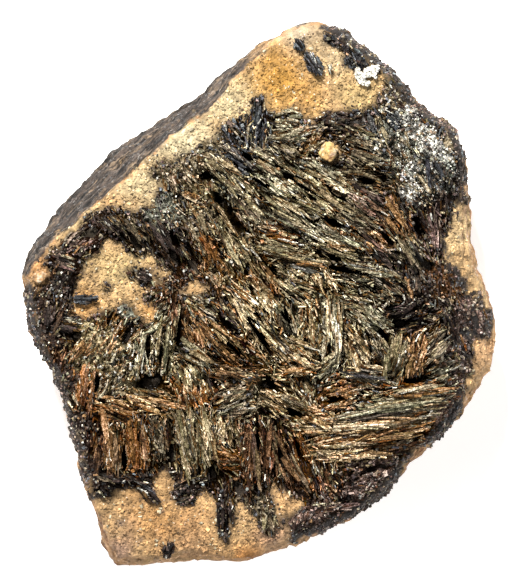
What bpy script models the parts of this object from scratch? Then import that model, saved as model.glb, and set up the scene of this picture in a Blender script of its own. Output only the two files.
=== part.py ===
"""Betekhtinite on sandstone: a slab of tan rock whose front face carries a mat of needle crystals.

The slab lies on its broken back, so the crystals face up. The origin is the middle of the back, +Y
points to the slab's pointed end and +Z up through the crystals. The numbers below are millimetres,
and MM turns them into metres where a mesh is made.
"""

import math

import bmesh
import bpy
from mathutils import Matrix, Vector, noise
from mathutils.bvhtree import BVHTree
from mathutils.geometry import delaunay_2d_cdt

MM = 0.001

# Driving sizes, in millimetres.
FACE_HEIGHT = 15.6  # the front face above the back, in the middle of the slab
GIRDLE_HEIGHT = 10.5  # where the broken sides are widest
FLANK_FOOT = 3.2  # where the sloping bedded flank is widest
BACK_INSET = 3.4  # how far the flat back stops inside the outline
MAT_EDGE = 0.9  # thickness of the needle mat along its rim
MAT_MIDDLE = 3.0  # and well inside it
MAT_SHOULDER = 6.5  # distance over which it thickens
RELIEF = 0.75  # rise and fall of the mat's bundles
GAP = 0.3  # clearance between pieces that touch
SLAB_SPACING = 3.0  # facet sizes
MAT_SPACING = 1.35
MAT_FOOT_SPACING = 3.0
FOOT_REACH = 0.9  # how far round a point the mat's underside clears the rock

# The slab from above: x, y, and the lip, which is how far inside the outline its front face ends.
SLAB_OUTLINE = [
    (6.9, 32.5, 0.6), (10.2, 30.9, 0.6), (13.2, 28.6, 0.6), (16.4, 26.0, 0.6), (17.8, 23.6, 0.6),
    (20.2, 21.5, 0.6), (23.0, 20.1, 0.7), (24.3, 17.2, 0.8), (25.0, 12.0, 1.0), (25.3, 6.2, 1.6),
    (26.9, 1.4, 1.8), (28.3, -3.0, 1.8), (27.7, -8.0, 1.8), (25.2, -13.0, 1.4), (21.2, -17.2, 0.7),
    (17.6, -20.5, 0.8), (14.4, -24.0, 0.7), (11.0, -26.4, 0.6), (6.2, -28.6, 0.6), (2.2, -30.7, 0.9),
    (-2.0, -31.9, 0.9), (-8.0, -31.5, 0.8), (-13.6, -32.2, 0.8), (-17.2, -32.5, 0.8),
    (-18.6, -30.0, 0.9), (-20.0, -25.2, 0.7), (-21.6, -18.6, 0.5), (-23.1, -13.8, 0.5),
    (-24.3, -9.6, 0.5), (-26.6, -5.8, 0.5), (-27.5, -1.6, 0.6), (-28.3, 2.2, 1.0), (-26.8, 6.3, 2.0),
    (-24.0, 10.2, 3.0), (-20.6, 14.1, 3.5), (-16.6, 17.8, 3.4), (-12.0, 20.7, 2.9), (-7.2, 23.4, 2.2),
    (-3.3, 26.9, 1.4), (0.4, 29.8, 0.9), (3.6, 31.4, 0.6),
]

# Fracture facets round the back: heading from the middle, reach at the back, slope.
FRACTURES = [
    (-75, 22.5, 50), (-28, 22.8, 57), (20, 20.4, 50), (100, 22.0, 49), (180, 21.6, 54),
    (214, 24.4, 52), (256, 25.6, 44),
]

# The needle mat from above. It runs up the right side to the point and round the bare islands.
MAT_OUTLINE = [
    (6.6, 31.0), (7.6, 32.0), (9.4, 31.0), (12.0, 29.6), (14.8, 27.0), (17.1, 25.4), (18.3, 23.2),
    (20.0, 21.6), (22.8, 20.3), (24.1, 18.6), (24.6, 15.6), (24.3, 13.0), (24.8, 11.2), (23.2, 9.9),
    (22.3, 7.4), (21.9, 4.2), (23.4, 3.1), (24.2, 0.8), (25.8, -1.0), (27.4, -2.0), (27.1, -5.2),
    (25.0, -4.4), (25.6, -7.2), (25.0, -10.4), (24.0, -12.2), (24.2, -13.9), (21.6, -17.1),
    (18.6, -18.6), (16.2, -21.4), (14.9, -23.6), (12.4, -25.8), (9.4, -27.2), (6.4, -28.2),
    (4.2, -29.3), (3.3, -28.0), (3.4, -26.9), (2.2, -26.7), (1.6, -28.6), (0.2, -28.2),
    (-0.9, -26.0), (-1.4, -24.2), (-2.6, -24.8), (-3.2, -27.0), (-3.8, -29.5), (-4.8, -28.8),
    (-5.3, -26.6), (-5.2, -24.4), (-6.6, -23.8), (-8.4, -25.0), (-10.2, -24.7), (-10.0, -23.0),
    (-11.3, -20.8), (-12.4, -22.4), (-11.7, -24.6), (-13.2, -25.0), (-15.4, -22.9), (-17.4, -23.7),
    (-19.8, -24.5), (-20.8, -22.0), (-21.3, -18.6), (-22.8, -15.2), (-23.9, -11.4), (-24.9, -9.0),
    (-26.6, -6.8), (-26.9, -3.6), (-28.0, -0.2), (-27.2, 1.0), (-25.2, 1.1), (-24.7, 2.3),
    (-25.5, 3.9), (-23.2, 6.1), (-20.4, 8.4), (-18.2, 10.5), (-15.2, 9.8), (-12.4, 10.8),
    (-12.0, 12.4), (-13.1, 14.8), (-12.2, 15.8), (-9.4, 16.4), (-7.0, 18.0), (-5.3, 18.6),
    (-4.2, 20.2), (-1.6, 21.5), (-1.0, 23.4), (0.4, 23.3), (1.0, 21.6), (3.0, 21.9), (5.4, 21.5),
    (6.2, 20.2), (7.8, 21.2), (10.4, 21.8), (12.6, 21.3), (13.9, 23.0), (14.8, 25.0), (14.9, 26.4),
    (13.0, 27.9), (11.4, 27.0), (9.6, 26.7), (9.9, 28.2), (8.2, 29.7),
]

# Bare rock showing through the mat.
LEFT_ISLAND = [
    (-18.4, 6.6), (-16.4, 6.0), (-15.2, 4.3), (-13.0, 4.8), (-11.2, 2.6), (-11.6, 0.6), (-13.2, -0.2),
    (-11.6, -2.1), (-13.3, -3.3), (-14.8, -1.3), (-17.6, -1.5), (-19.8, -2.6), (-22.7, -2.2),
    (-22.0, 0.2), (-20.8, 2.6), (-20.4, 4.0), (-18.7, 5.0),
]
MIDDLE_ISLAND = [(-9.7, 0.3), (-8.6, 1.8), (-6.8, 1.4), (-6.1, 0.2), (-7.8, -0.1)]
BOTTOM_ISLAND = [(1.5, -22.6), (3.4, -23.6), (4.9, -24.9), (4.0, -26.0), (2.5, -25.9), (1.7, -24.4)]
NODULE_POCKET = [(7.0, 16.8), (7.8, 17.9), (9.0, 17.9), (9.7, 16.8), (9.0, 15.6), (7.7, 15.6)]
ISLANDS = [LEFT_ISLAND, MIDDLE_ISLAND, BOTTOM_ISLAND, NODULE_POCKET]

# Hollows between the bundles: x, y, radius, depth.
HOLLOWS = [
    (-6.2, 14.0, 1.3, 1.4), (-4.2, 10.8, 1.6, 1.5), (-12.9, -10.9, 1.8, 2.0), (1.1, -10.8, 1.3, 1.6),
    (2.6, -19.4, 1.7, 1.9), (12.9, 13.4, 1.4, 1.3), (7.4, 8.4, 1.2, 1.3), (12.6, -11.0, 1.5, 1.3),
    (16.8, -3.0, 1.8, 1.5), (-9.6, 4.0, 1.9, 1.3), (-21.8, -5.6, 1.4, 1.3), (3.9, -14.0, 1.2, 1.4),
    (18.8, 7.6, 1.3, 1.2), (12.7, -18.2, 1.0, 1.2), (-7.4, -20.6, 1.3, 1.4), (1.2, 2.6, 1.2, 1.2),
]

# Small needle bundles that stand apart on the bare rock: x, y, heading, length, width, height.
TUFTS = {
    "needle_splinter_left": (-20.5, -0.55, 8, 3.3, 0.95, 0.9),
    "needle_tuft_left": (-13.6, 2.1, 160, 2.1, 1.5, 1.0),
    "needle_tuft_top_upper": (4.7, 29.5, 125, 1.9, 1.2, 0.9),
    "needle_tuft_top_lower": (6.4, 27.4, 120, 3.6, 1.5, 1.2),
    "needle_tuft_pale": (8.4, 26.6, 100, 1.7, 0.7, 0.6),
    "sulphide_spot_base": (-10.8, -30.4, 70, 1.7, 0.9, 0.6),
}

# Rounded calcite grains: x, y, half length, half width, height, heading.
NODULES = {
    "calcite_nodule_left": (-26.0, 2.05, 0.72, 0.48, 0.9, 25),
    "calcite_nodule_top": (8.35, 16.8, 0.72, 0.62, 1.9, 60),
}

# White calcite rhombs grown together at the top right: x, y, edge, turn, tilt.
CALCITE_RHOMBS = [
    (11.7, 26.0, 0.95, 20, 25), (12.6, 26.1, 1.1, 65, -18), (13.5, 25.7, 1.0, 35, 30),
    (12.2, 25.2, 0.85, 80, 12), (13.1, 25.0, 0.9, 10, -28),
]

# Plain finishes of the construction model: colour, roughness, metallic.
FINISHES = {
    "sandstone": ((0.56, 0.40, 0.22), 0.9, 0.0),
    "betekhtinite": ((0.10, 0.09, 0.06), 0.4, 0.7),
    "calcite": ((0.80, 0.74, 0.62), 0.45, 0.0),
}


def smooth_step(low, high, value):
    t = min(1.0, max(0.0, (value - low) / (high - low)))
    return t * t * (3 - 2 * t)


def inside(x, y, loop):
    """Whether the point is inside a closed loop of points, by counting the edges to its right."""
    odd = False
    for (ax, ay, *_), (bx, by, *_) in zip(loop, loop[1:] + loop[:1]):
        if (ay > y) != (by > y) and x < (bx - ax) * (y - ay) / (by - ay) + ax:
            odd = not odd
    return odd


def distance_to(x, y, loop):
    """Distance from a point to the nearest edge of a closed loop."""
    best = math.inf
    for (ax, ay, *_), (bx, by, *_) in zip(loop, loop[1:] + loop[:1]):
        dx, dy = bx - ax, by - ay
        t = ((x - ax) * dx + (y - ay) * dy) / (dx * dx + dy * dy)
        t = min(1.0, max(0.0, t))
        best = min(best, math.hypot(x - ax - t * dx, y - ay - t * dy))
    return best


def ripple(x, y, wavelength, seed):
    return noise.noise(Vector((x / wavelength, y / wavelength, seed)))


def front_face(x, y):
    """Height of the slab's front face, which dips to the lower right and rolls off on the right."""
    z = FACE_HEIGHT - 0.012 * x + 0.012 * y
    beside = smooth_step(-16, -10, y) * (1 - smooth_step(9, 15, y))
    z -= beside * 0.2 * max(0.0, x - 20.5) ** 1.7
    z -= 0.06 * max(0.0, -26.0 - y) ** 1.6
    return z + 0.45 * ripple(x, y, 9.0, 1.7) + 0.2 * ripple(x, y, 4.0, 5.1)


def mat_thickness(x, y):
    """The mat is thin at its rim and round the islands, thick inside, and dips at each hollow."""
    edge = min(distance_to(x, y, loop) for loop in [MAT_OUTLINE] + ISLANDS)
    body = smooth_step(0.0, MAT_SHOULDER, edge)
    thickness = MAT_EDGE + (MAT_MIDDLE - MAT_EDGE) * body
    thickness += RELIEF * (0.35 + 0.65 * body) * ripple(x, y, 3.4, 8.3)
    for hollow_x, hollow_y, radius, depth in HOLLOWS:
        reach = math.hypot(x - hollow_x, y - hollow_y) / radius
        thickness -= depth * math.exp(-reach * reach) * body
    return max(0.55, thickness)


def triangulate(loops, spacing):
    """Points and triangles that fill the first loop and leave the others open. Loops come first."""
    outer = loops[0]
    points = [Vector(p[:2]) for loop in loops for p in loop]
    edges, start = [], 0
    for loop in loops:
        edges += [(start + i, start + (i + 1) % len(loop)) for i in range(len(loop))]
        start += len(loop)
    rise = spacing * math.sqrt(3) / 2
    low_x, high_x = min(p[0] for p in outer), max(p[0] for p in outer)
    low_y, high_y = min(p[1] for p in outer), max(p[1] for p in outer)
    for row in range(int((high_y - low_y) / rise) + 1):
        for column in range(int((high_x - low_x) / spacing) + 1):
            x = low_x + (column + 0.5 * (row % 2)) * spacing
            y = low_y + (row + 0.5) * rise
            x += 0.3 * spacing * ripple(x, y, 1.1, 2.2)
            y += 0.3 * spacing * ripple(x, y, 1.3, 9.4)
            clear = min(distance_to(x, y, loop) for loop in loops) > 0.45 * spacing
            if clear and inside(x, y, outer) and not any(inside(x, y, h) for h in loops[1:]):
                points.append(Vector((x, y)))
    made, _, faces, *_ = delaunay_2d_cdt(points, edges, [], 0, 1e-5)
    kept = []
    for face in faces:
        x, y = (sum(made[i][axis] for i in face) / 3 for axis in (0, 1))
        if inside(x, y, outer) and not any(inside(x, y, h) for h in loops[1:]):
            kept.append(face)
    return [(p.x, p.y) for p in made], kept


def add_object(name, vertices, faces, finish):
    """An object with its own material, from points in millimetres."""
    mesh = bpy.data.meshes.new(name)
    mesh.from_pydata([Vector(v) * MM for v in vertices], [], faces)
    bm = bmesh.new()
    bm.from_mesh(mesh)
    bmesh.ops.recalc_face_normals(bm, faces=bm.faces)
    bm.to_mesh(mesh)
    bm.free()
    obj = bpy.data.objects.new(name, mesh)
    bpy.context.scene.collection.objects.link(obj)
    colour, roughness, metallic = FINISHES[finish]
    material = bpy.data.materials.new(name)
    material.use_nodes = True
    shader = material.node_tree.nodes["Principled BSDF"]
    shader.inputs["Base Color"].default_value = (*colour, 1.0)
    shader.inputs["Roughness"].default_value = roughness
    shader.inputs["Metallic"].default_value = metallic
    mesh.materials.append(material)
    return obj


def inwards(x, y, distance):
    """The point moved towards the slab's middle."""
    reach = math.hypot(x, y)
    return x * (1 - distance / reach), y * (1 - distance / reach)


def slab_rings():
    """Closed rings of points up the slab's sides, from the flat back to the front face's edge."""
    rings = [[] for _ in range(6)]
    for x, y, lip in SLAB_OUTLINE:
        flank = smooth_step(1.2, 2.6, lip) * smooth_step(0.0, 6.0, y - x)
        foot = BACK_INSET * (1 - 0.55 * flank)
        rim_x, rim_y = inwards(x, y, lip + 0.5)
        rim = front_face(rim_x, rim_y)
        girdle = min(GIRDLE_HEIGHT * (1 - flank) + FLANK_FOOT * flank, rim - 2.2)
        wander = 0.35 * ripple(x, y, 2.3, 4.4)
        profile = [
            (foot, 0.0),
            (foot * 0.62 + wander, 0.16 * girdle + 0.4),
            (foot * 0.22 - wander, 0.58 * girdle),
            (0.0, girdle),
            (lip * 0.5, girdle + 0.55 * (rim - girdle)),
            (lip * 0.95, rim - 0.45),
        ]
        for ring, (inset, z) in zip(rings, profile):
            ring.append((*inwards(x, y, inset), z))
    return rings


def build_slab():
    rings = slab_rings()
    count = len(SLAB_OUTLINE)
    rim = [inwards(x, y, lip + 0.5) for x, y, lip in SLAB_OUTLINE]
    flat, triangles = triangulate([rim], SLAB_SPACING)
    vertices = [p for ring in rings for p in ring]
    top = len(vertices)
    vertices += [(x, y, front_face(x, y)) for x, y in flat]
    faces = [tuple(range(count))]
    for level in range(len(rings)):
        low, high = level * count, (level + 1) * count
        for i in range(count):
            j = (i + 1) % count
            faces.append((low + i, low + j, high + j, high + i))
    faces += [tuple(top + i for i in face) for face in triangles]
    slab = add_object("sandstone_slab", vertices, faces, "sandstone")
    for fracture in FRACTURES:
        break_off(slab, *fracture)
    return slab


def break_off(slab, heading, reach, slope):
    """Breaks off the slab's lower edge along a plane that rises outwards from the back."""
    turn, rise = math.radians(heading), math.radians(slope)
    out = Vector((math.cos(turn), math.sin(turn), 0.0))
    bm = bmesh.new()
    bm.from_mesh(slab.data)
    cut = bmesh.ops.bisect_plane(
        bm,
        geom=bm.verts[:] + bm.edges[:] + bm.faces[:],
        dist=1e-7,
        plane_co=out * reach * MM,
        plane_no=out * math.sin(rise) - Vector((0, 0, math.cos(rise))),
        clear_outer=True,
    )
    edges = [e for e in cut["geom_cut"] if isinstance(e, bmesh.types.BMEdge)]
    bmesh.ops.holes_fill(bm, edges=edges, sides=0)
    bmesh.ops.recalc_face_normals(bm, faces=bm.faces)
    bm.to_mesh(slab.data)
    bm.free()


def surface_below(slab):
    """A function that gives the slab's own faceted height at x, y, in millimetres."""
    tree = BVHTree.FromObject(slab, bpy.context.evaluated_depsgraph_get())

    def height(x, y):
        hit = tree.ray_cast(Vector((x, y, 60.0)) * MM, Vector((0, 0, -1)))[0]
        over_face = hit is not None and hit.z / MM > front_face(x, y) - 0.8
        return hit.z / MM if over_face else front_face(x, y)

    return height


def seat(height, x, y, reach):
    """The highest rock at a point and just round it, so that flat facets above it stay clear."""
    steps = [(0, 0), (reach, 0), (-reach, 0), (0, reach), (0, -reach)]
    return max(height(x + dx, y + dy) for dx, dy in steps) + GAP


def build_mat(height):
    """The mat's two skins meet in a wall along its outline and along each island."""
    loops = [MAT_OUTLINE] + ISLANDS
    rim_count = sum(len(loop) for loop in loops)
    top_points, top_faces = triangulate(loops, MAT_SPACING)
    foot_points, foot_faces = triangulate(loops, MAT_FOOT_SPACING)
    vertices = [(x, y, front_face(x, y) + mat_thickness(x, y)) for x, y in top_points]
    foot = len(vertices)
    vertices += [(x, y, seat(height, x, y, FOOT_REACH)) for x, y in foot_points]
    faces = [tuple(face) for face in top_faces]
    faces += [tuple(foot + i for i in reversed(face)) for face in foot_faces]
    start = 0
    for loop in loops:
        for i in range(len(loop)):
            a, b = start + i, start + (i + 1) % len(loop)
            faces.append((a, foot + a, foot + b, b))
        start += len(loop)
    assert start == rim_count
    return add_object("needle_mat", vertices, faces, "betekhtinite")


def build_tuft(name, height, x, y, heading, length, width, thickness):
    """A small bundle lying on the rock: six-sided sections that taper to both ends."""
    stations = [(-0.5, 0.45), (-0.3, 0.9), (0.0, 1.0), (0.28, 0.8), (0.5, 0.3)]
    section = [(-0.5, 0.0), (0.5, 0.0), (0.46, 0.5), (0.2, 0.95), (-0.22, 1.0), (-0.5, 0.45)]
    turn = math.radians(heading)
    along, across = (math.cos(turn), math.sin(turn)), (-math.sin(turn), math.cos(turn))
    spots, vertices = [], []
    for share, swell in stations:
        for side, up in section:
            px = x + along[0] * share * length + across[0] * side * width * swell
            py = y + along[1] * share * length + across[1] * side * width * swell
            spots.append(height(px, py))
            vertices.append((px, py, up * thickness * swell))
    floor = max(spots) + GAP
    vertices = [(px, py, floor + up) for px, py, up in vertices]
    sides = len(section)
    faces = [tuple(range(sides)), tuple(len(vertices) - sides + i for i in range(sides))]
    for s in range(len(stations) - 1):
        for i in range(sides):
            j = (i + 1) % sides
            faces.append((s * sides + i, s * sides + j, (s + 1) * sides + j, (s + 1) * sides + i))
    return add_object(name, vertices, faces, "betekhtinite")


def build_nodule(name, height, x, y, half_length, half_width, tall, heading):
    """A rounded grain, flat where it sits on the rock."""
    bm = bmesh.new()
    bmesh.ops.create_icosphere(bm, subdivisions=2, radius=1.0)
    floor = seat(height, x, y, half_length)
    turn = Matrix.Rotation(math.radians(heading), 3, "Z")
    vertices = []
    for v in bm.verts:
        swell = 1 + 0.08 * noise.noise(v.co * 1.7)
        p = turn @ Vector((v.co.x * half_length * swell, v.co.y * half_width * swell, 0.0))
        vertices.append((x + p.x, y + p.y, floor + max(0.0, 0.35 + 0.65 * v.co.z) * tall))
    bm.verts.index_update()
    faces = [[v.index for v in f.verts] for f in bm.faces]
    bm.free()
    obj = add_object(name, vertices, faces, "calcite")
    bm = bmesh.new()
    bm.from_mesh(obj.data)
    bmesh.ops.dissolve_limit(bm, angle_limit=0.01, verts=bm.verts, edges=bm.edges)
    bm.to_mesh(obj.data)
    bm.free()
    return obj


def build_calcite(height):
    """Rhombs that have grown into each other, joined into one solid and cut off at the rock."""
    lowest = max(height(x, y) for x, y, *_ in CALCITE_RHOMBS) + GAP
    joined = None
    for number, (x, y, edge, turn, tilt) in enumerate(CALCITE_RHOMBS):
        shear = Matrix(((1, 0.25, 0), (0, 1, 0.2), (0, 0, 1)))
        pose = Matrix.Rotation(math.radians(turn), 3, "Z") @ Matrix.Rotation(math.radians(tilt), 3, "X")
        corners = []
        for sx in (-0.5, 0.5):
            for sy in (-0.5, 0.5):
                for sz in (-0.5, 0.5):
                    p = pose @ (shear @ Vector((sx, sy, sz)) * edge)
                    corners.append((x + p.x, y + p.y, lowest + 0.35 * edge + p.z))
        faces = [(0, 1, 3, 2), (4, 6, 7, 5), (0, 4, 5, 1), (2, 3, 7, 6), (0, 2, 6, 4), (1, 5, 7, 3)]
        name = "calcite_cluster" if number == 0 else f"calcite_rhomb_{number}"
        rhomb = add_object(name, corners, faces, "calcite")
        if joined is None:
            joined = rhomb
        else:
            add_boolean(joined, rhomb, "UNION")
    reach = 3.5
    below = [(12.6 + sx * reach, 25.6 + sy * reach, z) for z in (lowest - 3.0, lowest)
             for sy in (-1, 1) for sx in (-1, 1)]
    faces = [(0, 2, 3, 1), (4, 5, 7, 6), (0, 1, 5, 4), (2, 6, 7, 3), (0, 4, 6, 2), (1, 3, 7, 5)]
    add_boolean(joined, add_object("rock_below_calcite", below, faces, "calcite"), "DIFFERENCE")
    return joined


def add_boolean(target, other, operation):
    modifier = target.modifiers.new(other.name, "BOOLEAN")
    modifier.object = other
    modifier.operation = operation
    modifier.solver = "EXACT"
    other.hide_render = True
    other.display_type = "WIRE"


def main():
    for obj in list(bpy.data.objects):
        bpy.data.objects.remove(obj)
    slab = build_slab()
    bpy.context.view_layer.update()
    height = surface_below(slab)
    build_mat(height)
    for name, sizes in TUFTS.items():
        build_tuft(name, height, *sizes)
    for name, sizes in NODULES.items():
        build_nodule(name, height, *sizes)
    build_calcite(height)


main()
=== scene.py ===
import math

import bpy
import numpy as np
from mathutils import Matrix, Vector
from mathutils.bvhtree import BVHTree


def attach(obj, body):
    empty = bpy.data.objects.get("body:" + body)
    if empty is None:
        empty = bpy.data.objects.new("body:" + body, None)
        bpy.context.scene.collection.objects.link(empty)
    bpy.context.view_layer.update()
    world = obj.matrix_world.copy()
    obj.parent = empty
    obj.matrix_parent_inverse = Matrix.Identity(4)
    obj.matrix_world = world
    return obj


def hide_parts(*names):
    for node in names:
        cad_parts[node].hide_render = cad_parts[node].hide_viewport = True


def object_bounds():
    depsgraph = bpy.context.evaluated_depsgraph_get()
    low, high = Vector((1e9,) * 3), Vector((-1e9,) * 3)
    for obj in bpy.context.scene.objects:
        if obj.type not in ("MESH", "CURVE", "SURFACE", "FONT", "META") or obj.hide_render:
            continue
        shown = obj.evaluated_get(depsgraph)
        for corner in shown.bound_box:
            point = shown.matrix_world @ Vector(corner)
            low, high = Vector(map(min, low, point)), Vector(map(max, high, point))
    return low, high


# The looks of a betekhtinite specimen: a sandstone slab under a mat of needle crystals.
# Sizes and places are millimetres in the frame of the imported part, seen from above with the
# pointed end up: +X right, +Y up the picture, +Z towards the camera. MM turns them into metres.
# A pair of numbers for smooth_step says where a share starts to grow from 0 and where it is 1.

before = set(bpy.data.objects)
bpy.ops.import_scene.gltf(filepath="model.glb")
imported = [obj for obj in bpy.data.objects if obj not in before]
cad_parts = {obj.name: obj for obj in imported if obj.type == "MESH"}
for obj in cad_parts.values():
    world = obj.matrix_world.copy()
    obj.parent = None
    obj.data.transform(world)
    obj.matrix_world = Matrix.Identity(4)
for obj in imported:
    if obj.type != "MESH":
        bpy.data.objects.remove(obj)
cad_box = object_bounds()

MM = 0.001
BODY = "root"
BOX_LOW = np.array(cad_box[0]) / MM
BOX_HIGH = np.array(cad_box[1]) / MM

# The plan is sampled on this grid, which goes a little past the box.
GRID = 0.25
GRID_MARGIN = 2.0
GRID_LEFT, GRID_BOTTOM = BOX_LOW[:2] - GRID_MARGIN
GRID_COLUMNS, GRID_ROWS = ((BOX_HIGH - BOX_LOW + 2 * GRID_MARGIN) / GRID).astype(int)[:2] + 1
RAY_START = 60.0  # rays that look for a height start from here, over everything
DOWN = Vector((0, 0, -1))

# Colours as seen, 0 to 255. LIGHT_LEVEL turns them into surface colours under the lamps here.
LIGHT_LEVEL = 0.98
TONES = {
    "black": (54, 46, 42),
    "umber": (90, 66, 48),
    "plum": (106, 89, 82),
    "steel": (68, 70, 73),
    "slate": (111, 100, 80),
    "olive": (134, 121, 90),
    "sage": (142, 135, 109),
    "straw": (176, 153, 110),
    "brown": (130, 99, 66),
    "rust": (136, 94, 54),
    "gold": (168, 134, 90),
    "pewter": (174, 172, 163),
    "ash": (116, 118, 106),
    # silver is the colour of the painted glints
    "silver": (214, 212, 198),
}

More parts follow.
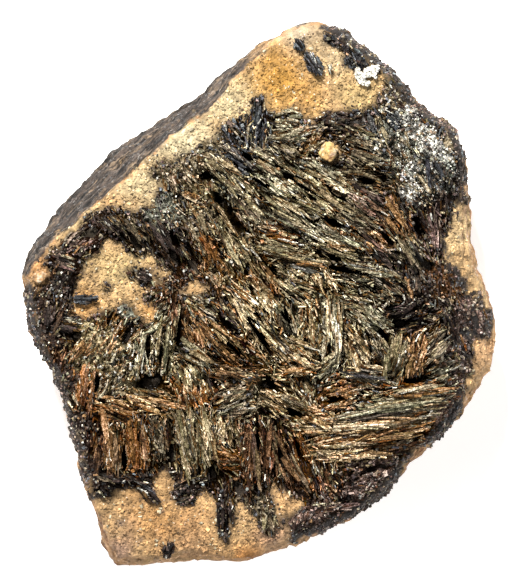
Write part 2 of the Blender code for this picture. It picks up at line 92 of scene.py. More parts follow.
# Bundles of needles: x, y, heading, length, width, tone, lift above the mat's mean height.
# The heading is in degrees from +X, and points to the bundle's free end.
SPRAYS = [
    # Upper left, dark and steep.
    (-0.3, 19.8, 88, 6.6, 2.2, "steel", 0.3), (-3.6, 19.5, -48, 3.2, 2.4, "steel", 0.1),
    (-12.1, 13.2, -68, 4.8, 1.8, "black", 0.0), (-10.3, 12.6, -66, 4.8, 1.8, "slate", 0.1),
    (-8.2, 14.4, -50, 3.8, 2.2, "slate", 0.0), (-5.2, 15.6, -42, 4.4, 2.4, "slate", 0.15),
    (-3.0, 13.3, -40, 5.4, 2.2, "olive", 0.1), (-2.4, 16.6, -38, 4.6, 2.0, "steel", 0.1),
    (1.2, 15.3, -36, 5.8, 2.2, "sage", 0.25), (3.6, 17.0, -30, 4.2, 1.8, "slate", 0.0),
    (-7.6, 11.4, -34, 3.2, 2.0, "brown", -0.1), (-7.4, 8.4, -62, 6.2, 2.6, "slate", 0.15),
    (-11.8, 7.0, -60, 6.8, 2.6, "black", 0.0), (-14.6, 7.6, -52, 5.4, 2.4, "slate", 0.1),
    (-17.4, 8.5, -50, 4.6, 2.6, "black", 0.1), (-21.2, 6.7, 32, 5.0, 2.2, "plum", 0.05),
    (-22.9, 3.7, -18, 3.9, 1.7, "plum", 0.3), (-23.8, 1.9, 58, 3.6, 2.6, "black", 0.0),
    (-26.6, 0.0, 60, 2.6, 2.0, "black", 0.0), (-24.4, -2.4, 76, 4.2, 2.0, "black", 0.1),
    (-22.6, -3.6, -10, 3.2, 2.0, "black", -0.1), (-9.6, 5.2, -60, 4.4, 1.8, "black", -0.2),
    (-6.0, 5.4, -62, 5.4, 1.8, "rust", 0.0), (-4.4, 7.8, -60, 6.4, 2.4, "olive", 0.2),
    (-2.2, 4.6, -60, 6.2, 2.4, "olive", 0.15), (-1.0, 9.4, -48, 5.4, 2.2, "slate", 0.0),
    (-5.2, 2.4, -62, 4.2, 2.0, "brown", -0.1), (-8.6, 2.6, -50, 2.6, 1.4, "umber", -0.1),
    # Upper middle, long and sloping to the right.
    (2.2, 12.8, -34, 6.6, 2.0, "sage", 0.3), (3.4, 10.8, -32, 7.2, 2.0, "olive", 0.25),
    (5.7, 12.8, -34, 6.2, 1.8, "olive", 0.2), (7.4, 10.8, -34, 5.8, 1.8, "olive", 0.1),
    (6.8, 14.9, -24, 5.8, 1.8, "sage", 0.2), (3.0, 8.8, -28, 7.8, 1.8, "sage", 0.3),
    (2.2, 7.1, -24, 4.8, 1.3, "rust", 0.15), (2.8, 5.3, -18, 6.6, 1.6, "olive", 0.15),
    (4.6, 3.6, -14, 5.8, 1.6, "olive", 0.1), (8.5, 7.0, -28, 7.2, 1.6, "sage", 0.35),
    (11.4, 8.8, -30, 4.8, 1.8, "slate", 0.0), (13.2, 6.8, -40, 4.2, 2.0, "brown", 0.0),
    (9.6, 4.6, -20, 5.2, 1.8, "olive", 0.1), (12.1, 2.7, -12, 6.2, 2.0, "sage", 0.2),
    (11.4, 11.6, -34, 4.8, 2.2, "slate", 0.05), (13.8, 10.2, -34, 4.6, 2.0, "plum", 0.0),
    (11.6, 16.5, -22, 5.6, 2.2, "slate", 0.1), (11.8, 18.5, -24, 4.6, 2.0, "slate", 0.0),
    (13.6, 19.8, -68, 3.8, 1.8, "steel", 0.1), (9.8, 20.4, -14, 4.2, 1.8, "black", 0.0),
    (17.0, 17.5, -60, 4.0, 2.4, "slate", 0.05), (20.5, 14.5, -75, 4.5, 2.4, "steel", 0.0),
    (22.6, 11.5, -80, 4.0, 2.0, "black", 0.05), (15.4, 20.8, -50, 4.0, 2.0, "steel", 0.0),
    (18.6, 13.2, -50, 4.0, 2.0, "slate", 0.05), (12.2, 28.0, -42, 4.0, 2.0, "steel", 0.05),
    (15.0, 24.6, -58, 3.8, 2.0, "black", 0.0), (9.8, 30.2, -40, 3.6, 1.6, "steel", 0.0),
    (3.8, 20.6, -12, 4.6, 2.0, "sage", 0.15), (4.2, 18.7, 12, 4.8, 1.8, "sage", 0.05),
    (6.3, 18.0, 34, 3.4, 1.6, "olive", 0.1), (12.2, 13.7, -12, 5.2, 1.8, "slate", 0.05),
    (8.8, 12.9, -30, 4.6, 1.6, "olive", 0.1), (0.4, 1.8, -50, 4.6, 2.4, "brown", 0.0),
    (4.0, 1.4, -34, 4.6, 2.4, "olive", 0.0), (7.4, 1.6, -62, 4.0, 2.2, "straw", 0.05),
    # Right.
    (16.0, 8.9, -56, 4.8, 2.6, "brown", 0.1), (19.0, 8.0, -66, 4.8, 2.0, "black", -0.1),
    (21.0, 7.0, -76, 5.2, 1.8, "plum", 0.0), (17.8, 4.8, -60, 4.8, 2.6, "slate", 0.0),
    (14.8, 4.6, -38, 4.2, 1.8, "black", -0.1), (18.2, 1.6, -70, 3.8, 2.6, "black", 0.0),
    (15.4, 1.6, -30, 4.2, 2.2, "slate", 0.0), (12.9, -2.9, -38, 5.4, 2.2, "sage", 0.3),
    (11.2, -0.9, -18, 4.2, 1.4, "olive", 0.05), (8.6, -3.8, -88, 7.6, 2.3, "sage", 0.3),
    (11.3, -6.3, -64, 6.4, 2.4, "straw", 0.2), (16.2, -7.4, 74, 5.2, 2.2, "olive", 0.15),
    (18.3, -7.4, 78, 5.0, 2.2, "brown", 0.1), (20.7, -6.2, 42, 4.6, 2.2, "slate", 0.15),
    (21.9, -8.8, 22, 3.6, 2.2, "sage", 0.15), (23.6, -5.6, -70, 4.4, 2.2, "black", 0.0),
    (17.0, -3.0, 20, 4.6, 2.4, "black", 0.0), (14.2, -6.6, -62, 4.2, 1.8, "slate", 0.0),
    (13.4, -9.4, -8, 5.4, 1.8, "slate", 0.05), (7.9, -8.8, 40, 3.4, 1.5, "sage", 0.25),
    (5.2, -7.1, -28, 4.4, 2.2, "straw", 0.15), (4.8, -9.0, 4, 4.0, 1.0, "gold", 0.1),
    (6.0, -4.4, -82, 4.8, 1.8, "straw", 0.1), (3.0, -3.0, -64, 4.2, 1.8, "sage", 0.3),
    # Middle.
    (-1.4, -2.2, -58, 8.6, 2.2, "straw", 0.45), (0.5, -5.0, -54, 7.2, 2.0, "straw", 0.3),
    (2.7, -6.4, -52, 5.8, 1.8, "straw", 0.1), (1.0, -0.8, -58, 5.4, 1.8, "straw", 0.15),
    (-3.6, -6.2, -42, 6.2, 2.2, "brown", 0.25), (-7.0, -1.4, -36, 4.8, 1.4, "sage", 0.2),
    (-9.5, -3.0, 84, 5.2, 1.6, "umber", 0.0), (-7.2, -4.5, -68, 5.4, 2.4, "brown", 0.15),
    (-3.8, -2.8, -46, 3.6, 2.0, "black", -0.5), (-7.4, -7.2, -28, 5.0, 1.8, "sage", 0.15),
    (-12.9, -3.9, 38, 5.2, 1.6, "sage", 0.35), (-11.6, -6.3, 88, 5.8, 1.6, "olive", 0.15),
    (-13.8, -6.7, 86, 5.2, 1.6, "sage", 0.15), (-7.5, -9.9, 112, 4.2, 3.0, "straw", 0.1),
    (-7.6, -12.0, 104, 3.0, 4.2, "rust", 0.15), (-12.7, -12.5, -16, 6.2, 2.2, "gold", 0.2),
    (-3.0, -9.2, -12, 5.2, 2.0, "brown", 0.0), (-2.8, -12.6, 22, 4.8, 3.0, "slate", 0.1),
    (1.2, -12.6, -32, 3.6, 2.4, "straw", 0.05), (-17.4, -6.2, 66, 4.2, 3.0, "brown", 0.0),
    (-20.4, -6.6, 50, 3.6, 2.4, "brown", 0.0), (-17.6, -10.4, 62, 4.2, 2.4, "slate", 0.0),
    # Lower right, long and nearly level.
    (16.4, -13.6, 7, 15.0, 2.0, "sage", 0.3), (12.6, -15.2, 6, 13.0, 1.6, "straw", 0.25),
    (14.4, -14.4, 7, 14.0, 1.6, "gold", 0.1), (15.8, -12.6, 7, 11.0, 1.4, "olive", 0.1),
    (13.4, -16.2, 7, 12.0, 1.4, "brown", 0.0), (18.9, -15.0, 9, 9.0, 1.4, "gold", 0.2),
    (17.9, -11.5, 8, 8.2, 1.3, "rust", 0.05), (15.0, -16.7, 9, 12.6, 1.1, "rust", 0.05),
    (12.0, -17.8, 6, 11.0, 1.3, "gold", 0.15), (10.2, -19.0, 3, 9.4, 1.3, "straw", 0.15),
    (17.8, -18.0, 12, 6.4, 1.6, "umber", 0.05), (7.2, -14.6, -24, 4.6, 2.2, "gold", 0.15),
    (9.6, -12.0, 20, 4.8, 2.4, "brown", -0.05), (5.8, -11.8, -70, 4.8, 1.6, "olive", 0.1),
    (3.2, -13.2, -30, 3.8, 2.4, "straw", 0.0), (21.8, -13.6, 10, 4.2, 2.6, "umber", 0.05),
    (8.0, -22.0, -72, 4.8, 2.6, "umber", 0.0), (9.6, -25.6, 10, 7.4, 2.2, "plum", 0.1),
    (13.2, -22.4, 20, 4.8, 2.6, "plum", 0.0),
    # Lower left, steep columns.
    (-7.5, -17.2, -79, 8.8, 4.2, "olive", 0.45), (-4.1, -16.2, -80, 3.6, 1.6, "straw", 0.2),
    (-17.0, -18.3, -88, 7.4, 2.6, "brown", 0.2), (-14.4, -17.8, -86, 6.8, 2.4, "rust", 0.2),
    (-11.6, -17.2, -84, 5.2, 2.0, "slate", 0.05), (-19.2, -19.4, 88, 5.8, 1.8, "umber", 0.05),
    (-20.6, -11.2, 82, 6.4, 1.8, "rust", 0.05), (-22.6, -12.0, -52, 3.2, 0.9, "sage", 0.3),
    (-17.4, -22.4, -18, 4.4, 1.8, "black", 0.2), (-13.4, -23.0, -34, 4.8, 1.8, "black", 0.1),
    (-8.6, -23.2, 20, 4.2, 2.2, "black", 0.0), (-1.2, -19.2, -86, 8.2, 2.4, "umber", 0.1),
    (1.4, -18.6, -84, 7.2, 2.2, "umber", 0.05), (3.6, -20.4, -66, 6.8, 2.0, "umber", 0.1),
    (5.6, -20.4, -72, 6.2, 1.8, "rust", 0.05), (-3.8, -19.4, -20, 3.4, 1.6, "rust", 0.0),
    (-4.1, -26.4, -84, 6.4, 1.6, "black", 0.1), (0.8, -26.2, -80, 5.2, 2.0, "slate", 0.0),
    (-17.2, -13.5, -20, 4.8, 2.4, "brown", 0.1), (4.6, -27.6, 60, 3.6, 2.0, "black", 0.0),
    (-24.0, -8.6, 70, 4.0, 2.4, "umber", 0.0), (-21.8, -16.6, 80, 5.0, 1.8, "black", 0.0),
    (-20.6, -21.4, 82, 5.0, 2.0, "black", 0.05),
]

# Patches of small blocky crystals: x, y, radius, tone, share of pale ones, which are painted
# glints, and how far they stand there in place of needles.
DRUSES = [
    (15.8, 18.5, 3.2, "ash", 0.3, 0.6), (17.4, 21.0, 1.2, "pewter", 0.78, 1.0),
    (18.2, 19.6, 1.6, "pewter", 0.72, 1.0), (19.8, 18.0, 1.8, "pewter", 0.76, 1.0),
    (21.5, 16.4, 1.2, "pewter", 0.7, 1.0), (17.6, 14.6, 1.2, "pewter", 0.6, 1.0),
    (17.9, 11.6, 1.3, "pewter", 0.66, 0.9), (23.1, 18.4, 1.7, "slate", 0.14, 1.0),
    (16.2, 15.8, 1.0, "sage", 0.4, 0.7), (20.6, 14.4, 2.6, "ash", 0.32, 0.6),
    (22.4, 12.2, 2.4, "black", 0.1, 0.5), (16.9, 16.4, 2.2, "ash", 0.26, 0.5),
    (16.4, 22.8, 2.4, "slate", 0.14, 0.6), (14.8, 25.6, 2.2, "black", 0.12, 0.6),
    (12.4, 28.6, 2.4, "steel", 0.1, 0.5), (9.6, 30.4, 1.8, "black", 0.06, 0.5),
    (22.2, 2.0, 2.6, "umber", 0.05, 0.7), (25.6, -2.8, 2.4, "plum", 0.05, 0.8),
    (24.0, -8.4, 2.6, "plum", 0.06, 0.5), (13.4, -22.2, 3.6, "plum", 0.2, 0.7),
    (22.6, -14.0, 2.2, "plum", 0.04, 0.5), (-26.9, -1.6, 1.8, "black", 0.08, 0.8),
    (-25.6, -5.2, 2.2, "black", 0.05, 0.7), (-23.4, -10.4, 2.0, "black", 0.06, 0.7),
    (-18.6, -6.6, 3.2, "olive", 0.24, 0.8), (-16.6, -9.6, 2.0, "olive", 0.2, 0.6),
    (-2.4, -11.6, 2.6, "slate", 0.14, 0.5), (9.4, -11.8, 2.2, "rust", 0.08, 0.4),
    (-6.4, 16.6, 2.2, "slate", 0.12, 0.5), (-10.6, 15.4, 2.2, "slate", 0.1, 0.7),
    (-7.4, 11.6, 2.0, "olive", 0.1, 0.5), (18.0, 1.4, 2.6, "black", 0.08, 0.5),
    (6.0, -26.6, 3.0, "plum", 0.1, 0.6), (-8.8, -23.4, 2.0, "black", 0.08, 0.5),
    (-21.4, -15.6, 1.8, "black", 0.1, 0.6), (-20.6, -22.0, 2.2, "black", 0.05, 0.6),
    (9.6, 20.8, 2.0, "black", 0.06, 0.5), (-24.0, 1.8, 1.8, "black", 0.12, 0.5),
    (0.6, -25.6, 1.8, "slate", 0.08, 0.4), (5.0, 18.4, 1.8, "brown", 0.1, 0.5),
    (-4.2, 3.2, 1.4, "straw", 0.1, 0.4), (5.2, 2.6, 1.6, "straw", 0.1, 0.4),
    (-11.4, 9.8, 2.2, "ash", 0.12, 0.6), (-6.2, 9.2, 1.8, "slate", 0.12, 0.5),
    (-3.6, 13.0, 1.6, "ash", 0.12, 0.4), (-15.4, -1.4, 1.6, "ash", 0.14, 0.7),
    (-12.2, 1.6, 1.8, "umber", 0.12, 0.6),
]

# Dark pits between the bundles: x, y, heading, length, width.
PITS = [
    (-13.1, -10.6, 10, 3.3, 1.4), (-19.2, -10.6, 90, 1.6, 0.5), (-21.6, -4.9, 0, 1.1, 1.0),
    (-15.5, -4.9, 60, 2.2, 0.8), (-13.1, -6.2, 88, 2.4, 0.45), (-11.7, -7.1, 88, 1.6, 0.4),
    (-9.5, -4.5, 86, 3.0, 0.7), (-20.1, 7.2, 30, 1.6, 1.0), (-14.9, 6.1, -60, 2.6, 0.6),
    (-10.0, 4.2, -60, 2.2, 0.9), (-9.9, 6.2, -60, 1.8, 0.7), (-8.0, 3.5, -50, 1.6, 0.6),
    (-6.4, 13.9, 0, 1.3, 0.9), (-4.8, 11.2, -50, 2.0, 1.0), (-3.0, 8.6, -62, 2.6, 0.8),
    (3.4, 13.9, -30, 1.8, 0.7), (2.2, 15.1, -34, 1.4, 0.4), (5.3, 12.6, -32, 1.6, 0.4),
    (8.5, 8.5, -20, 1.8, 0.7), (6.1, 11.5, -34, 1.3, 0.4), (1.2, 2.7, 0, 1.2, 0.7),
    (12.7, 13.4, -16, 1.8, 0.8), (9.4, 11.6, -34, 2.4, 0.5), (-11.7, 13.0, -60, 1.2, 0.5),
    (-1.4, 16.2, -40, 1.6, 0.8), (4.0, -14.0, -20, 1.8, 0.9), (9.0, -12.5, 10, 1.6, 0.8),
    (1.0, -10.8, 0, 1.7, 1.1), (-4.0, -3.5, -48, 2.4, 0.7), (2.6, -19.4, -85, 2.6, 0.6),
    (-0.2, -17.4, -85, 2.0, 0.5), (4.6, -18.6, -75, 2.0, 0.5), (16.8, -3.5, 20, 2.0, 0.9),
    (18.8, 8.0, -66, 2.4, 0.8), (15.0, 6.6, -50, 1.8, 0.7), (19.8, 3.4, -70, 1.6, 0.7),
    (14.6, -4.8, -50, 1.8, 0.6), (18.4, -10.2, 10, 2.6, 0.5), (-16.0, -19.6, -88, 2.6, 0.5),
    (-10.4, -18.6, -84, 2.4, 0.6), (-5.6, -21.4, -80, 2.0, 0.8), (13.6, -20.6, 8, 2.4, 0.7),
    (-2.4, -23.0, -60, 1.8, 0.8),
]

# Colours of the bare rock: x, y, radius, colour, strength.
ROCK_BASE = (206, 168, 118)
ROCK_PATCHES = [
    (-14.5, 13.5, 4.5, (222, 201, 157), 0.9), (-9.0, 18.5, 4.5, (238, 222, 180), 0.95),
    (-3.5, 22.5, 4.0, (236, 218, 172), 0.9), (-21.0, 9.0, 3.5, (232, 202, 150), 0.8),
    (4.5, 31.0, 3.6, (190, 174, 148), 0.9), (9.0, 28.0, 3.0, (220, 198, 158), 0.75),
    (2.6, 25.6, 4.0, (197, 146, 62), 1.0), (5.6, 23.6, 2.6, (198, 150, 80), 0.8),
    (1.6, 28.4, 2.2, (198, 148, 72), 0.8), (11.5, 23.6, 3.6, (208, 180, 124), 0.85),
    (-17.0, 2.6, 4.6, (214, 185, 131), 0.95), (-20.5, -1.0, 2.4, (206, 150, 84), 0.8),
    (-13.0, -1.8, 2.0, (206, 154, 88), 0.8), (-12.0, -27.0, 6.0, (196, 148, 92), 0.9),
    (-16.5, -30.5, 3.6, (188, 152, 128), 0.9), (-8.5, -30.0, 3.4, (198, 154, 112), 0.6),
    (-1.0, -31.6, 2.6, (196, 128, 52), 0.9), (1.6, -28.6, 2.6, (198, 156, 128), 0.8),
    (3.2, -24.4, 2.2, (212, 168, 116), 0.9), (24.4, 7.0, 4.0, (250, 216, 162), 0.95),
    (27.0, 0.0, 3.0, (250, 212, 158), 0.95), (27.4, -6.4, 3.4, (244, 196, 146), 0.95),
    (-16.4, -27.2, 0.8, (112, 98, 94), 0.8), (-14.2, -29.2, 0.7, (104, 92, 92), 0.8),
    (-11.6, -25.9, 0.5, (110, 92, 84), 0.8), (-26.6, 3.6, 2.4, (206, 150, 92), 0.8),
]
FLANK_DARK = (56, 48, 43)
FLANK_STREAK = (100, 85, 69)
FLANK_LIP = (212, 153, 99)
WALL_CRUST = (45, 40, 38)
SIDE_COLOUR = (202, 157, 111)
SIDE_STAIN = (140, 92, 59)

# Smooth noises. name: strength, distance that it changes over, or one for each axis, seed, octaves.
NOISES = {
    "mat edge": (0.55, 1.3, 75, 3),
    "pit outline": (0.3, 0.4, 70, 1),
    "gaps": (1.0, (1.3, 0.5, 1.0), 71, 1),
    "mat relief": (0.42, 1.7, 73, 3),
    "mat patches": (0.3, 1.5, 77, 3),
    "druse outline": (0.35, 1.2, 79, 3),
    "crust x": (0.1, 0.35, 3, 1),
    "crust y": (0.1, 0.35, 4, 1),
    "crust relief": (0.2, 0.9, 21, 3),
    "crust grain": (0.14, 0.32, 27, 1),
    "druse shade": (0.7, 0.5, 29, 1),
    "glints": (1.0, 0.8, 91, 3),
    "grit clumps": (1.0, 1.6, 93, 3),
    "wall edge": (0.45, 1.3, 37, 3),
    "wall hem": (0.7, 1.6, 39, 3),
    "wall holes": (1.0, 0.9, 67, 3),
    "nodule lumps": (0.42, 0.9, 101, 3),
    "nodule grain": (0.08, 0.2, 105, 1),
    "nodule shade": (0.5, 0.3, 107, 3),
    "nodule bright": (1.0, 0.5, 109, 3),
    "nodule rust": (1.0, 0.7, 111, 3),
    "flank edge": (0.25, 3.0, 43, 3),
    "rock patches": (0.45, 2.2, 31, 3),
    "rock shade": (0.2, 1.3, 33, 3),
    "rock grain": (0.2, 0.45, 34, 1),
    "edge_dark": (0.4, 0.8, 35, 3),
    "bedding": (1.0, (9, 9, 1 / 1.7), 41, 4),
    "fine bedding": (0.22, (3, 3, 1 / 4.5), 45, 3),
    "streaks": (1.0, (5, 5, 1 / 5.5), 47, 3),
    "crust shade": (0.5, 0.7, 49, 3),
    "rolling": (0.3, 3.4, 51, 3),
    "rock relief": (0.16, 1.0, 55, 3),
    "ledges": (1.0, (6.25, 6.25, 1 / 1.5), 61, 4),
    "laminae": (0.22, (5.0, 0.8, 0.8), 65, 2),
}
CELL_PRIMES = np.array([73856093, 19349663, 83492791])
SEED_PRIME = 2654435761
MIXERS = ((15, 2246822519), (13, 3266489917))
LAST_SHIFT = 16
LOW_32, LOW_16 = 0xFFFFFFFF, 0xFFFF
OCTAVE_LOSS = 0.55
LAST_CELL = 1.001  # keeps a place inside the grid's last cell


def linear(colour):
    """A colour as seen, 0 to 255, as the light that it stands for, 0 to 1, by the sRGB curve."""
    share = np.asarray(colour, float) / 255
    return np.where(share <= 0.04045, share / 12.92, ((share + 0.055) / 1.055) ** 2.4)


def surface(colour):
    """The surface colour that looks like this one under the lamps here."""
    return linear(colour) * LIGHT_LEVEL


def tone_colours(names):
    return surface([TONES[name] for name in names])


def smooth_step(low, high, value):
    share = np.clip((value - low) / (high - low), 0, 1)
    return share * share * (3 - 2 * share)


def lattice(cells, seed):
    """A fixed random number, -1 to 1, for each row of whole numbers."""
    mixed = cells @ CELL_PRIMES + seed * SEED_PRIME
    for shift, prime in MIXERS:
        mixed = (mixed ^ (mixed >> shift)) * prime & LOW_32
    return ((mixed ^ (mixed >> LAST_SHIFT)) & LOW_16) / (LOW_16 / 2) - 1


def value_noise(points, seed):
    """Smooth noise, -1 to 1, that changes over a distance of 1."""
    base = np.floor(points).astype(np.int64)
    share = points - base
    share = share * share * (3 - 2 * share)
    total = np.zeros(len(points))
    for corner in np.ndindex(2, 2, 2):
        weight = np.prod(np.where(corner, share, 1 - share), axis=1)
        total += weight * lattice(base + np.array(corner), seed)
    return total


def noise(name, x, y, z=None):
    """The named noise at these places, or at the level 0 of the plan."""
    strength, distance, seed, octaves = NOISES[name]
    points = np.stack([x, y, np.zeros(len(x)) if z is None else z], 1) / distance
    total = np.zeros(len(points))
    for octave in range(octaves):
        total += value_noise(points * 2.0**octave, seed + octave) * OCTAVE_LOSS**octave
    return strength * total


def turned(x, y, heading):
    """How far x, y goes along this heading, in degrees from +X, and how far to its left."""
    turn = np.radians(heading)
    return x * np.cos(turn) + y * np.sin(turn), y * np.cos(turn) - x * np.sin(turn)


def beside(x, y, heading, slide, offset):
    """Points that lie this far along a heading from x, y, and this far to its left."""
    turn = math.radians(heading)
    along = np.array([math.cos(turn), math.sin(turn)])
    across = np.array([-along[1], along[0]])
    return np.array([x, y]) + slide[:, None] * along + offset[:, None] * across


class Field:
    """Values on the grid of the plan, read between its points."""

    def __init__(self, values):
        self.values = values

    def at(self, x, y):
        column = np.clip((x - GRID_LEFT) / GRID, 0, GRID_COLUMNS - LAST_CELL)
        row = np.clip((y - GRID_BOTTOM) / GRID, 0, GRID_ROWS - LAST_CELL)
        i, j = column.astype(int), row.astype(int)
        s, t = column - i, row - j
        low = self.values[j, i] * (1 - s) + self.values[j, i + 1] * s
        high = self.values[j + 1, i] * (1 - s) + self.values[j + 1, i + 1] * s
        return low * (1 - t) + high * t


def tree_of(mesh, corners):
    """A mesh's faces between these corners, in millimetres, for finding its height."""
    return BVHTree.FromPolygons(corners, [face.vertices[:] for face in mesh.polygons])


def node_tree(node):
    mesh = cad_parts[node].data
    return tree_of(mesh, [v.co / MM for v in mesh.vertices])


def heights_of(tree):
    """A shape's height over the grid, seen from above, and nan where it isn't."""
    heights = np.full((GRID_ROWS, GRID_COLUMNS), np.nan)
    for row in range(GRID_ROWS):
        for column in range(GRID_COLUMNS):
            start = (GRID_LEFT + column * GRID, GRID_BOTTOM + row * GRID, RAY_START)
            hit = tree.ray_cast(Vector(start), DOWN)[0]
            if hit is not None:
                heights[row, column] = hit.z
    return heights


def neighbours(values, fill):
    """The grid moved one step each way, for sums and tests over neighbours."""
    padded = np.pad(values, 1, constant_values=fill)
    moves = ((0, 1), (2, 1), (1, 0), (1, 2), (0, 0), (0, 2), (2, 0), (2, 2))
    return [padded[r : r + values.shape[0], c : c + values.shape[1]] for r, c in moves]


def filled(values):
    """The grid with each gap filled from the values round it."""
    values = values.copy()
    while np.isnan(values).any():
        around = np.stack(neighbours(values, np.nan))
        known = ~np.isnan(around)
        mean = np.where(known, around, 0).sum(0) / np.maximum(known.sum(0), 1)
        ready = np.isnan(values) & known.any(0)
        values[ready] = mean[ready]
    return values


def blurred(values, times):
    for _ in range(times):
        padded = np.pad(values, 1, mode="edge")
        rows = (padded[:-2] + 2 * padded[1:-1] + padded[2:]) / 4
        values = (rows[:, :-2] + 2 * rows[:, 1:-1] + rows[:, 2:]) / 4
    return values


def depth_inside(mask):
    """How far each point of a mask is from its edge, stepping by turns over sides and corners."""
    depth = np.zeros(mask.shape)
    left = mask.copy()
    corners_too = True
    while left.any():
        depth[left] += GRID
        around = neighbours(left, False)
        left = left & np.all(around if corners_too else around[:4], axis=0)
        corners_too = not corners_too
    return depth


def signed_depth(mask):
    return depth_inside(mask) - depth_inside(~mask)


def grid_places():
    """The x and the y of each point of the grid."""
    rows, columns = np.arange(GRID_ROWS), np.arange(GRID_COLUMNS)
    gx, gy = np.meshgrid(GRID_LEFT + GRID * columns, GRID_BOTTOM + GRID * rows)
    return gx.ravel(), gy.ravel()


def box_grid(spacing):
    """The x and the y of a square grid of points over the box."""
    return np.meshgrid(*(np.arange(BOX_LOW[axis], BOX_HIGH[axis], spacing) for axis in (0, 1)))


# The mat's outline and levels.

STEEPEST_BED = 1.1  # the needles stand where the rock rises less than this for each step along
DEEPEST_BED = 0.7  # and where the finished rock lies no more than this under the CAD rock
MAT_BLURS = 3
# Where crystals cover the rock a little further than the CAD mat: x, y, radius.
COVER = [
    (-14.7, 2.4, 0.9), (-13.4, 2.0, 1.1), (-13.3, -0.2, 0.8), (-12.2, 0.5, 0.7), (-16.5, -1.7, 0.9),
    (-15.3, 5.4, 0.5), (-14.0, 5.4, 0.6), (9.6, 31.2, 1.5), (11.6, 30.4, 1.5), (13.6, 28.8, 1.5),
    (15.2, 26.8, 1.4), (11.6, 27.6, 1.2), (-22.0, 0.5, 0.45), (-18.2, 1.2, 0.3), (-19.6, 3.9, 0.3),
]


def ragged_edge(mask):
    """How far each point lies inside the mask, with the mask's smooth outline made uneven."""
    x, y = grid_places()
    for cx, cy, radius in COVER:
        mask = mask | (np.hypot(x - cx, y - cy) < radius).reshape(mask.shape)
    return signed_depth(mask) + noise("mat edge", x, y).reshape(mask.shape)


def bed_fields(slab_tree):
    """How far inside the part of the mat that lies on the finished rock, and that rock's height."""
    found = heights_of(slab_tree)
    falls = np.isnan(found) | (found < rock.values - DEEPEST_BED)
    down_y, down_x = np.gradient(rock.values, GRID)
    mask = (mat_edge.values > 0) & (np.hypot(down_x, down_y) < STEEPEST_BED) & ~falls
    height = np.where(falls, rock.values, np.minimum(rock.values, np.nan_to_num(found, nan=0.0)))
    return Field(signed_depth(mask)), Field(height)


rock = Field(filled(heights_of(node_tree("sandstone_slab"))))
mat_heights = heights_of(node_tree("needle_mat"))
mat_top = Field(blurred(filled(mat_heights), MAT_BLURS))
mat_edge = Field(ragged_edge(~np.isnan(mat_heights)))


# Meshes.

SEEDS = {"needles": 11, "druses": 23, "wall": 29, "sand": 41, "calcite": 67}
TINT_LIMITS = (0.002, 0.9)
CELL_EDGE, CELL_WIDTH = 0.08, 0.84  # the used part of a square of the bake map


def read_all(items, name, width):
    """One property of each item of a mesh, in rows."""
    values = np.empty(len(items) * width, np.float32)
    items.foreach_get(name, values)
    return values.reshape(-1, width).astype(float)


def mesh_points(mesh):
    return read_all(mesh.vertices, "co", 3) / MM


def mesh_normals(mesh):
    return read_all(mesh.vertex_normals, "vector", 3)


def set_points(mesh, points):
    mesh.vertices.foreach_set("co", (points * MM).astype(np.float32).ravel())


def set_tint(mesh, tint, alpha=None):
    """Gives each vertex its colour, with an alpha that a material may use as a mask."""
    alpha = np.zeros(len(tint)) if alpha is None else alpha
    attribute = mesh.color_attributes.new("tint", "FLOAT_COLOR", "POINT")
    attribute.data.foreach_set("color", np.c_[tint, alpha].astype(np.float32).ravel())


def new_object(name, data):
    obj = bpy.data.objects.new(name, data)
    bpy.context.scene.collection.objects.link(obj)
    return obj


def add_mesh(name, vertices, face_groups, material, tint=None, cells=None):
    """A mesh object from points in millimetres and arrays of faces, with colours and a bake map."""
    mesh = bpy.data.meshes.new(name)
    corners = np.concatenate([group.ravel() for group in face_groups])
    counts = np.concatenate([np.full(len(group), group.shape[1]) for group in face_groups])
    starts = np.concatenate([[0], np.cumsum(counts)[:-1]])
    mesh.vertices.add(len(vertices))
    set_points(mesh, vertices)
    mesh.loops.add(len(corners))
    mesh.loops.foreach_set("vertex_index", corners.astype(np.int32))
    mesh.polygons.add(len(counts))
    mesh.polygons.foreach_set("loop_start", starts.astype(np.int32))
    mesh.polygons.foreach_set("use_smooth", np.zeros(len(counts), bool))
    mesh.update(calc_edges=True)
    mesh.validate()
    if tint is not None:
        set_tint(mesh, tint)
    if cells is not None:
        layer = mesh.uv_layers.new(name="OFBake", do_init=False)
        layer.uv.foreach_set("vector", cells[corners].astype(np.float32).ravel())
    mesh.materials.append(material)
    return new_object(name, mesh)


def remeshed_node(name, node, voxel, smoothings):
    """A new object with a CAD node's shape in small even faces."""
    obj = new_object(name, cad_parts[node].data.copy())
    remesh = obj.modifiers.new("remesh", "REMESH")
    remesh.mode = "VOXEL"
    remesh.voxel_size = voxel * MM
    smoothing = obj.modifiers.new("smoothing", "SMOOTH")
    smoothing.factor = 0.5
    smoothing.iterations = smoothings
    depsgraph = bpy.context.evaluated_depsgraph_get()
    mesh = bpy.data.meshes.new_from_object(obj.evaluated_get(depsgraph), depsgraph=depsgraph)
    obj.modifiers.clear()
    obj.data = mesh
    mesh.name = name
    return obj


def give_material(mesh, material):
    """Makes a remeshed shape smooth, of this material alone."""
    mesh.polygons.foreach_set("use_smooth", np.ones(len(mesh.polygons), bool))
    mesh.materials.clear()
    mesh.materials.append(material)


def stands_for(piece, node):
    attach(piece, BODY)
    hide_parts(node)


def cell_map(count, spots):
    """A bake map that gives each of many like things its own square, from places 0 to 1 on one."""
    across = math.ceil(math.sqrt(count))
    corner = np.stack([np.arange(count) % across, np.arange(count) // across], 1)
    places = corner[:, None, :] + CELL_EDGE + CELL_WIDTH * spots[None, :, :]
    return (places / across).reshape(-1, 2)


def blended(colour, other, share):
    """Two colours for each point, mixed by each point's share of the second."""
    share = np.asarray(share)[:, None]
    return colour * (1 - share) + other * share


